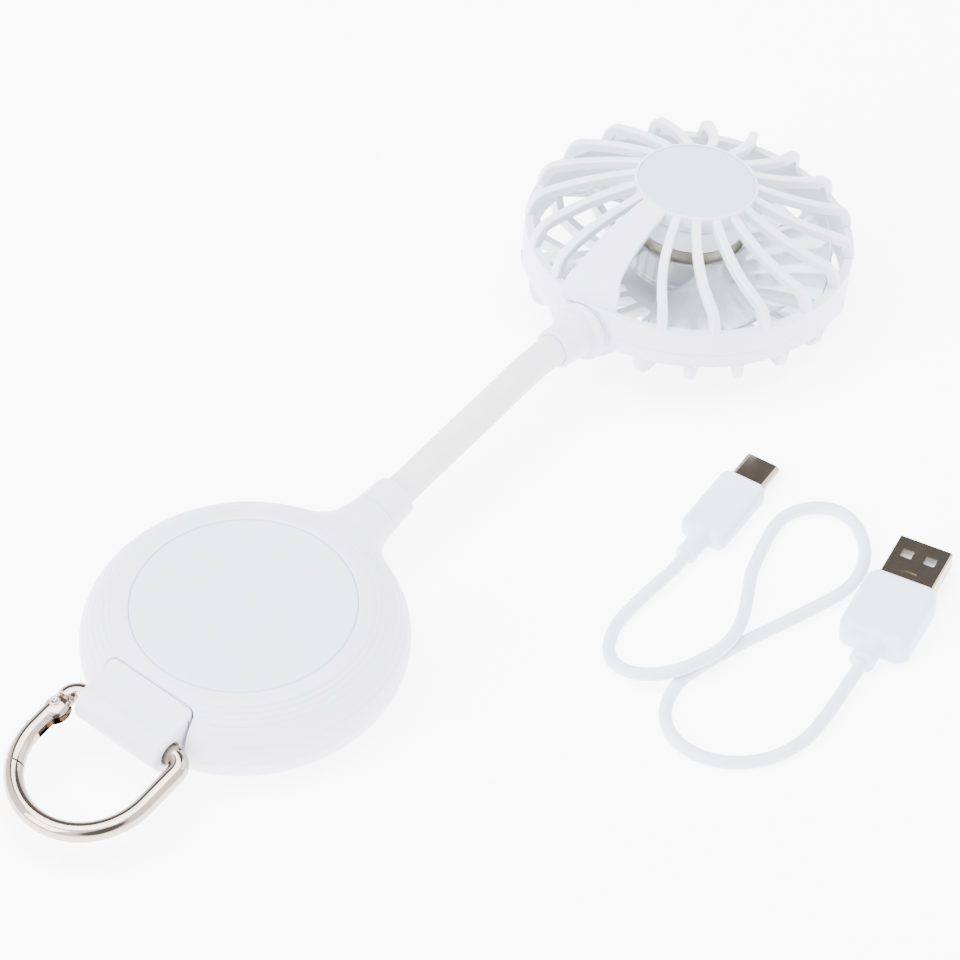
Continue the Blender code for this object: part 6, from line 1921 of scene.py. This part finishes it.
@dataclass
class RibRow:
    """One side's ribs, which run from the hub over a rounded shoulder into the ring's wall."""

    side: float
    count: int
    start_deg: float
    pitch_deg: float
    top_at_hub: float
    top_at_shoulder: float
    depth: float
    sweep_deg: float
    sweep_power: float = 1.7
    width: float = 2.1
    edge: float = 0.5
    low_share: float = 0.9
    root: float = 12.9
    shoulder: float = 34.0
    knee: float = 0.9
    knee_slope: float = 1.15
    knee_gap: float = 0.28
    wall: float = 36.5
    end_gap: float = 0.02
    end_height: float = 4.3
    low_end: Pair = (35.2, 2.7)

    def spine(self) -> list[tuple[Pair, Pair, Pair]]:
        """List stations of a rib: a point of its top line, the way up from it and the point under it.

        Returns:
            Stations as (radius, height) pairs.
        """
        slope = (self.top_at_hub - self.top_at_shoulder) / (self.shoulder - self.root)
        start, end = self.shoulder - self.knee, self.wall - self.knee_gap
        start_top = self.top_at_hub - slope * (start - self.root)
        first = Vector((start, start_top))
        bend = Vector((end, start_top - slope * (end - start) * self.knee_slope))
        last = Vector((self.wall - self.end_gap, self.end_height))
        stations = []
        for share in spread(0.0, 1.0, 16):
            radius = self.root + (start - self.root) * share
            top = self.top_at_hub - slope * (radius - self.root)
            stations.append(((radius, top), (slope, 1.0), (radius, top - self.depth)))
        for share in spread(0.0, 1.0, 14)[1:]:
            point = first * (1.0 - share) ** 2 + bend * (2.0 * share * (1.0 - share)) + last * share ** 2
            along = (bend - first) * (2.0 * (1.0 - share)) + (last - bend) * (2.0 * share)
            low = Vector((start, start_top - self.depth)).lerp(Vector(self.low_end), ease(share, 0.0, 1.0))
            stations.append((tuple(point), (-along.y, along.x), tuple(low)))
        return stations

    def spot(self, reach: float, offset: float, height: float, turns_deg: Pair) -> tuple[float, ...]:
        """Give a point of a rib.

        Args:
            reach: Distance of the rib's middle line from the head's axis.
            offset: Distance sideways from the middle line.
            height: Distance from the ring's middle plane.
            turns_deg: Azimuth of the rib's root, and its turn from root to wall.

        Returns:
            The point, in the head's axes.
        """
        run = self.wall - self.root
        share = max(reach - self.root, 0.0) / run
        root, sweep = (math.radians(angle) for angle in turns_deg)
        turn = root + sweep * share ** self.sweep_power
        rate = sweep * self.sweep_power * share ** (self.sweep_power - 1.0) / run
        heading = turn + math.atan(reach * rate)
        return (reach * math.cos(turn) - offset * math.sin(heading),
                reach * math.sin(turn) + offset * math.cos(heading), height * self.side)

    def add_rib(self, skin: Skin, turns_deg: Pair, widen: Callable[[float], float]) -> None:
        """Add one rib to the skin.

        Args:
            skin: The skin.
            turns_deg: Azimuth of the rib's root, and its turn from root to wall.
            widen: Gives the rib's half width at a radius.
        """
        rows = []
        for (radius, top), up, (low_radius, low_top) in self.spine():
            rise = Vector(up).normalized()
            half = widen(radius)
            edge = min(self.edge, half * self.low_share)
            side = [(half - edge * (1.0 - math.sin(turn)), edge * (1.0 - math.cos(turn)))
                    for turn in reversed(quarter(5))]
            upper = side + [((half - edge) * share, 0.0) for share in (0.5, 0.0, -0.5)]
            upper += [(-offset, drop) for offset, drop in reversed(side)]
            row = [self.spot(radius - rise.x * drop, offset, top - rise.y * drop, turns_deg)
                   for offset, drop in upper]
            row += [self.spot(low_radius, share * half, low_top, turns_deg)
                    for share in (-self.low_share, self.low_share)]
            rows.append(row)
        skin.loft(rows)

    def add_all(self, skin: Skin) -> None:
        """Add the whole row of ribs to the skin."""
        for index in range(self.count):
            turns_deg = (self.start_deg + self.pitch_deg * index, self.sweep_deg)
            self.add_rib(skin, turns_deg, lambda radius: self.width / 2.0)


@dataclass
class HeadCage:
    """The ring with its rear and front ribs, the hubs and the collar that takes the neck."""

    rear_ring: Outline = ((34.5, -0.98), (34.5, 4.7), (36.5, 4.7), (36.5, -0.98))
    front_ring: Outline = ((34.5, -4.7), (34.5, -1.02), (36.4, -1.02), (36.4, -4.7))
    rear_ribs: RibRow = field(default_factory=lambda: RibRow(1.0, 18, -160.0, 18.5, 18.2, 10.2, 2.3, 9.0))
    front_ribs: RibRow = field(default_factory=lambda: RibRow(-1.0, 20, -150.0, 18.0, 12.8, 9.9, 3.0, -9.0))
    wide_rib_deg: Pair = (174.6, 6.5)
    wide_rib_radii: Pair = (12.9, 36.4)
    wide_rib_half: float = 3.3
    wide_rib_growth: float = 2.3
    wide_rib_foot: float = 0.9
    rear_hub: Outline = ((0.0, 13.5), (12.5, 13.5), (12.7, 15.2), (13.6, 15.5), (13.6, 18.4),
                         (12.94, 18.4), (12.94, 16.7), (0.0, 16.7))
    front_hub: Outline = ((0.0, -9.8), (13.6, -9.8), (13.6, -13.2), (12.94, -13.2), (12.94, -11.5),
                          (0.0, -11.5))
    plate: float = 12.9
    rear_plate: Pair = (16.9, 18.2)
    front_plate: Pair = (-11.7, -13.0)
    pad: Outline = ((0.0, -33.2), (6.6, -33.2), (6.6, -36.65), (0.0, -36.65))
    collar: Outline = ((3.56, 46.7), (4.5, 46.7), (4.9, 38.55), (6.8, 38.55), (6.8, 36.95),
                       (3.56, 36.95))
    ring_sides: int = 240
    hub_sides: int = 128

    def wide_half(self, radius: float) -> float:
        """Work out the wide rib's half width, which flares into the ring.

        Args:
            radius: Distance from the head's axis.

        Returns:
            The half width.
        """
        start, end = self.wide_rib_radii
        share = min(max((radius - start) / (end - start), 0.0), 1.0)
        return self.wide_rib_half + self.wide_rib_growth * share + self.wide_rib_foot * ease(share, 0.8, 1.0)

    def build_rear(self) -> None:
        """Model the rear grille, with the raised rim round its hub plate."""
        skin = Skin()
        skin.turn(rounded(self.rear_ring, [0.1, 0.35, 0.4, 0.16], True, 7), self.ring_sides, looped=True)
        self.rear_ribs.add_all(skin)
        self.rear_ribs.add_rib(skin, self.wide_rib_deg, self.wide_half)
        skin.turn(rounded(self.rear_hub, [0.0, 0.3, 0.4, 0.3, 0.5, 0.12, 0.0, 0.0], False, 6), self.hub_sides)
        skin.turn(rounded(self.pad, [0.0, 0.1, 0.25, 0.0]), 96, axes=NECK_BELOW_HEAD @ ALONG_X)
        place(skin.piece("rear_cage", HEAD_AXES, 40.0), SHELL, Body.HEAD, Slot.SHELL, ["rear_grille"])

    def build_front(self) -> None:
        """Model the front grille."""
        skin = Skin()
        skin.turn(rounded(self.front_ring, [0.35, 0.1, 0.14, 0.6], True, 7), self.ring_sides, looped=True)
        self.front_ribs.add_all(skin)
        skin.turn(rounded(self.front_hub, [0.0, 0.4, 0.5, 0.12, 0.0, 0.0], False, 6), self.hub_sides)
        place(skin.piece("front_cage", HEAD_AXES, 40.0), SHELL, Body.HEAD, Slot.SHELL, ["front_grille"])

    def build_plates(self) -> None:
        """Model the satin plates in both hubs, coloured grey as painted shade."""
        for side, (low, high) in (("rear", self.rear_plate), ("front", self.front_plate)):
            skin = Skin()
            outline = [(0.0, low), (self.plate, low), (self.plate, high), (0.0, high)]
            skin.turn(rounded(outline, [0.0, 0.15, 0.2, 0.0]), self.hub_sides)
            plate = skin.piece(f"{side}_plate", HEAD_AXES)
            place(plate, HUB_PAINTED_SHADE, Body.HEAD, Slot.HUB_PLATE, [f"{side}_hub_plate"])

    def build_collar(self) -> None:
        """Model the flanged collar at the neck's end."""
        skin = Skin()
        outline = rounded(self.collar, [0.22, 0.42, 0.18, 0.6, 0.25, 0.05], True, 7)
        skin.turn(outline, 96, looped=True, axes=ALONG_X)
        place(skin.piece("head_neck_collar", HEAD_NECK_AXES), SHELL, Body.HEAD, Slot.SHELL, ["head_collar"])

    def build(self) -> None:
        """Build the cage."""
        self.build_rear()
        self.build_front()
        self.build_plates()
        self.build_collar()


@dataclass
class Motor:
    """The motor's fixed cup and the metal can that turns round it."""

    cup: Outline = ((0.0, 13.2), (12.3, 13.2), (12.3, 7.9), (11.1, 7.9), (11.1, 10.8), (3.0, 10.8),
                    (3.0, 0.4), (2.3, 0.4), (2.3, 12.0), (0.0, 12.0))
    cup_corners: tuple[float, ...] = (0.0, 0.5, 0.3, 0.2, 0.3, 0.2, 0.1, 0.0, 0.0, 0.0)
    can: Outline = ((0.0, -0.8), (11.2, -0.8), (11.2, 7.6), (12.0, 7.6), (12.0, -2.0), (0.0, -2.0))
    can_corners: tuple[float, ...] = (0.0, 0.3, 0.2, 0.35, 0.6, 0.0)
    sides: int = 128

    def build(self) -> None:
        """Model cup and can; the winding, magnet and bearings inside keep their solids."""
        cup, can = Skin(), Skin()
        cup.turn(rounded(self.cup, self.cup_corners, False, 6), self.sides)
        can.turn(rounded(self.can, self.can_corners, False, 6), self.sides)
        place(cup.piece("motor_cap", HEAD_AXES), SHELL, Body.HEAD, Slot.SHELL, ["motor_cup"])
        place(can.piece("rotor_cap", HEAD_AXES), CAN_METAL, Body.IMPELLER, Slot.STEEL, ["rotor_can"])


@dataclass
class Impeller:
    """The clear wheel with its twisted blades."""

    blades: int = 5
    root: float = 12.8
    tip: float = 32.0
    thickness: float = 1.2
    lean_deg: float = 14.0
    half_deg: float = 23.0
    half_growth_deg: float = 6.0
    rise: float = 4.2
    rise_growth: float = 0.6
    tip_start: float = 0.97
    tip_shares: tuple[float, ...] = (0.985, 0.995, 1.0)
    tip_least: float = 0.02
    edge_start: float = 0.95
    edge_least: float = 0.01
    chord_steps: int = 30
    span_steps: int = 14
    hub: Outline = ((0.0, -2.3), (12.3, -2.3), (12.3, 4.8), (13.2, 4.8), (13.2, -3.4), (0.0, -3.4))
    hub_corners: tuple[float, ...] = (0.0, 0.4, 0.2, 0.3, 0.6, 0.0)

    @staticmethod
    def thinning(share: float, start: float, least: float) -> float:
        """Give the share of a blade's thickness that is left towards its edge.

        Args:
            share: Place from the middle, 0, to the edge, 1.
            start: Place where the thinning starts.
            least: Least value before the root is taken.

        Returns:
            The share.
        """
        return math.sqrt(max(1.0 - (max(share - start, 0.0) / (1.0 - start)) ** 2, least))

    def add_blade(self, skin: Skin, index: int) -> None:
        """Add one blade to the skin.

        Args:
            skin: The skin.
            index: Number of the blade.
        """
        rows = []
        for share in [*spread(0.0, self.tip_start, self.span_steps), *self.tip_shares]:
            radius = self.root + (self.tip - self.root) * share
            centre = 360.0 / self.blades * index + self.lean_deg * share
            half = self.half_deg + self.half_growth_deg * share
            rise = self.rise + self.rise_growth * share
            thick = self.thickness / 2.0 * self.thinning(share, self.tip_start, self.tip_least)
            upper, lower = [], []
            for chord in spread(-1.0, 1.0, self.chord_steps):
                angle = math.radians(centre + half * chord)
                x, y = radius * math.cos(angle), radius * math.sin(angle)
                middle = rise * math.sin(math.pi / 2.0 * chord)
                swell = thick * self.thinning(abs(chord), self.edge_start, self.edge_least)
                upper.append((x, y, middle + swell))
                lower.append((x, y, middle - swell))
            rows.append(upper + lower[::-1])
        skin.loft(rows)

    def build(self) -> None:
        """Model the wheel."""
        skin = Skin()
        skin.turn(rounded(self.hub, self.hub_corners, False, 6), 128)
        for index in range(self.blades):
            self.add_blade(skin, index)
        place(skin.piece("fan_wheel", HEAD_AXES, 40.0), CLEAR, Body.IMPELLER, Slot.CLEAR, ["impeller"])


@dataclass
class InnerWorks:
    """Finishes for the enclosed solids that are shown as they are."""

    finishes: dict[str, Finish] = field(default_factory=lambda: {
        "battery_cell": CELL_WRAP, "control_board": BOARD, "tact_switch": BLACK, "motor_board": BOARD,
        "motor_bush": BUSH_BRONZE, "stator": WINDING, "ring_magnet": MAGNET, "motor_shaft": SCREW_STEEL,
        "motor_screw_1": SCREW_STEEL, "motor_screw_2": SCREW_STEEL, "motor_screw_3": SCREW_STEEL})

    def build(self) -> None:
        """Dress every enclosed solid."""
        for name, finish in self.finishes.items():
            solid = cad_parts[name]
            solid.data.materials.clear()
            solid.data.materials.append(finish.material())
            LOG.info("%s: solid, %s finish", name, finish.name)


def main() -> None:
    """Build studio and fan, and note the sizes."""
    logging.basicConfig(level=logging.INFO, format="%(message)s")
    for builder in (Studio(), ChargingLead(), BaseHousing(), Underside(), ClipLoop(), SnapHook(),
                    NeckSleeve(), HeadCage(), Motor(), Impeller(), InnerWorks()):
        LOG.info("building %s", type(builder).__name__)
        builder.build()


if __name__ == "__main__":
    main()
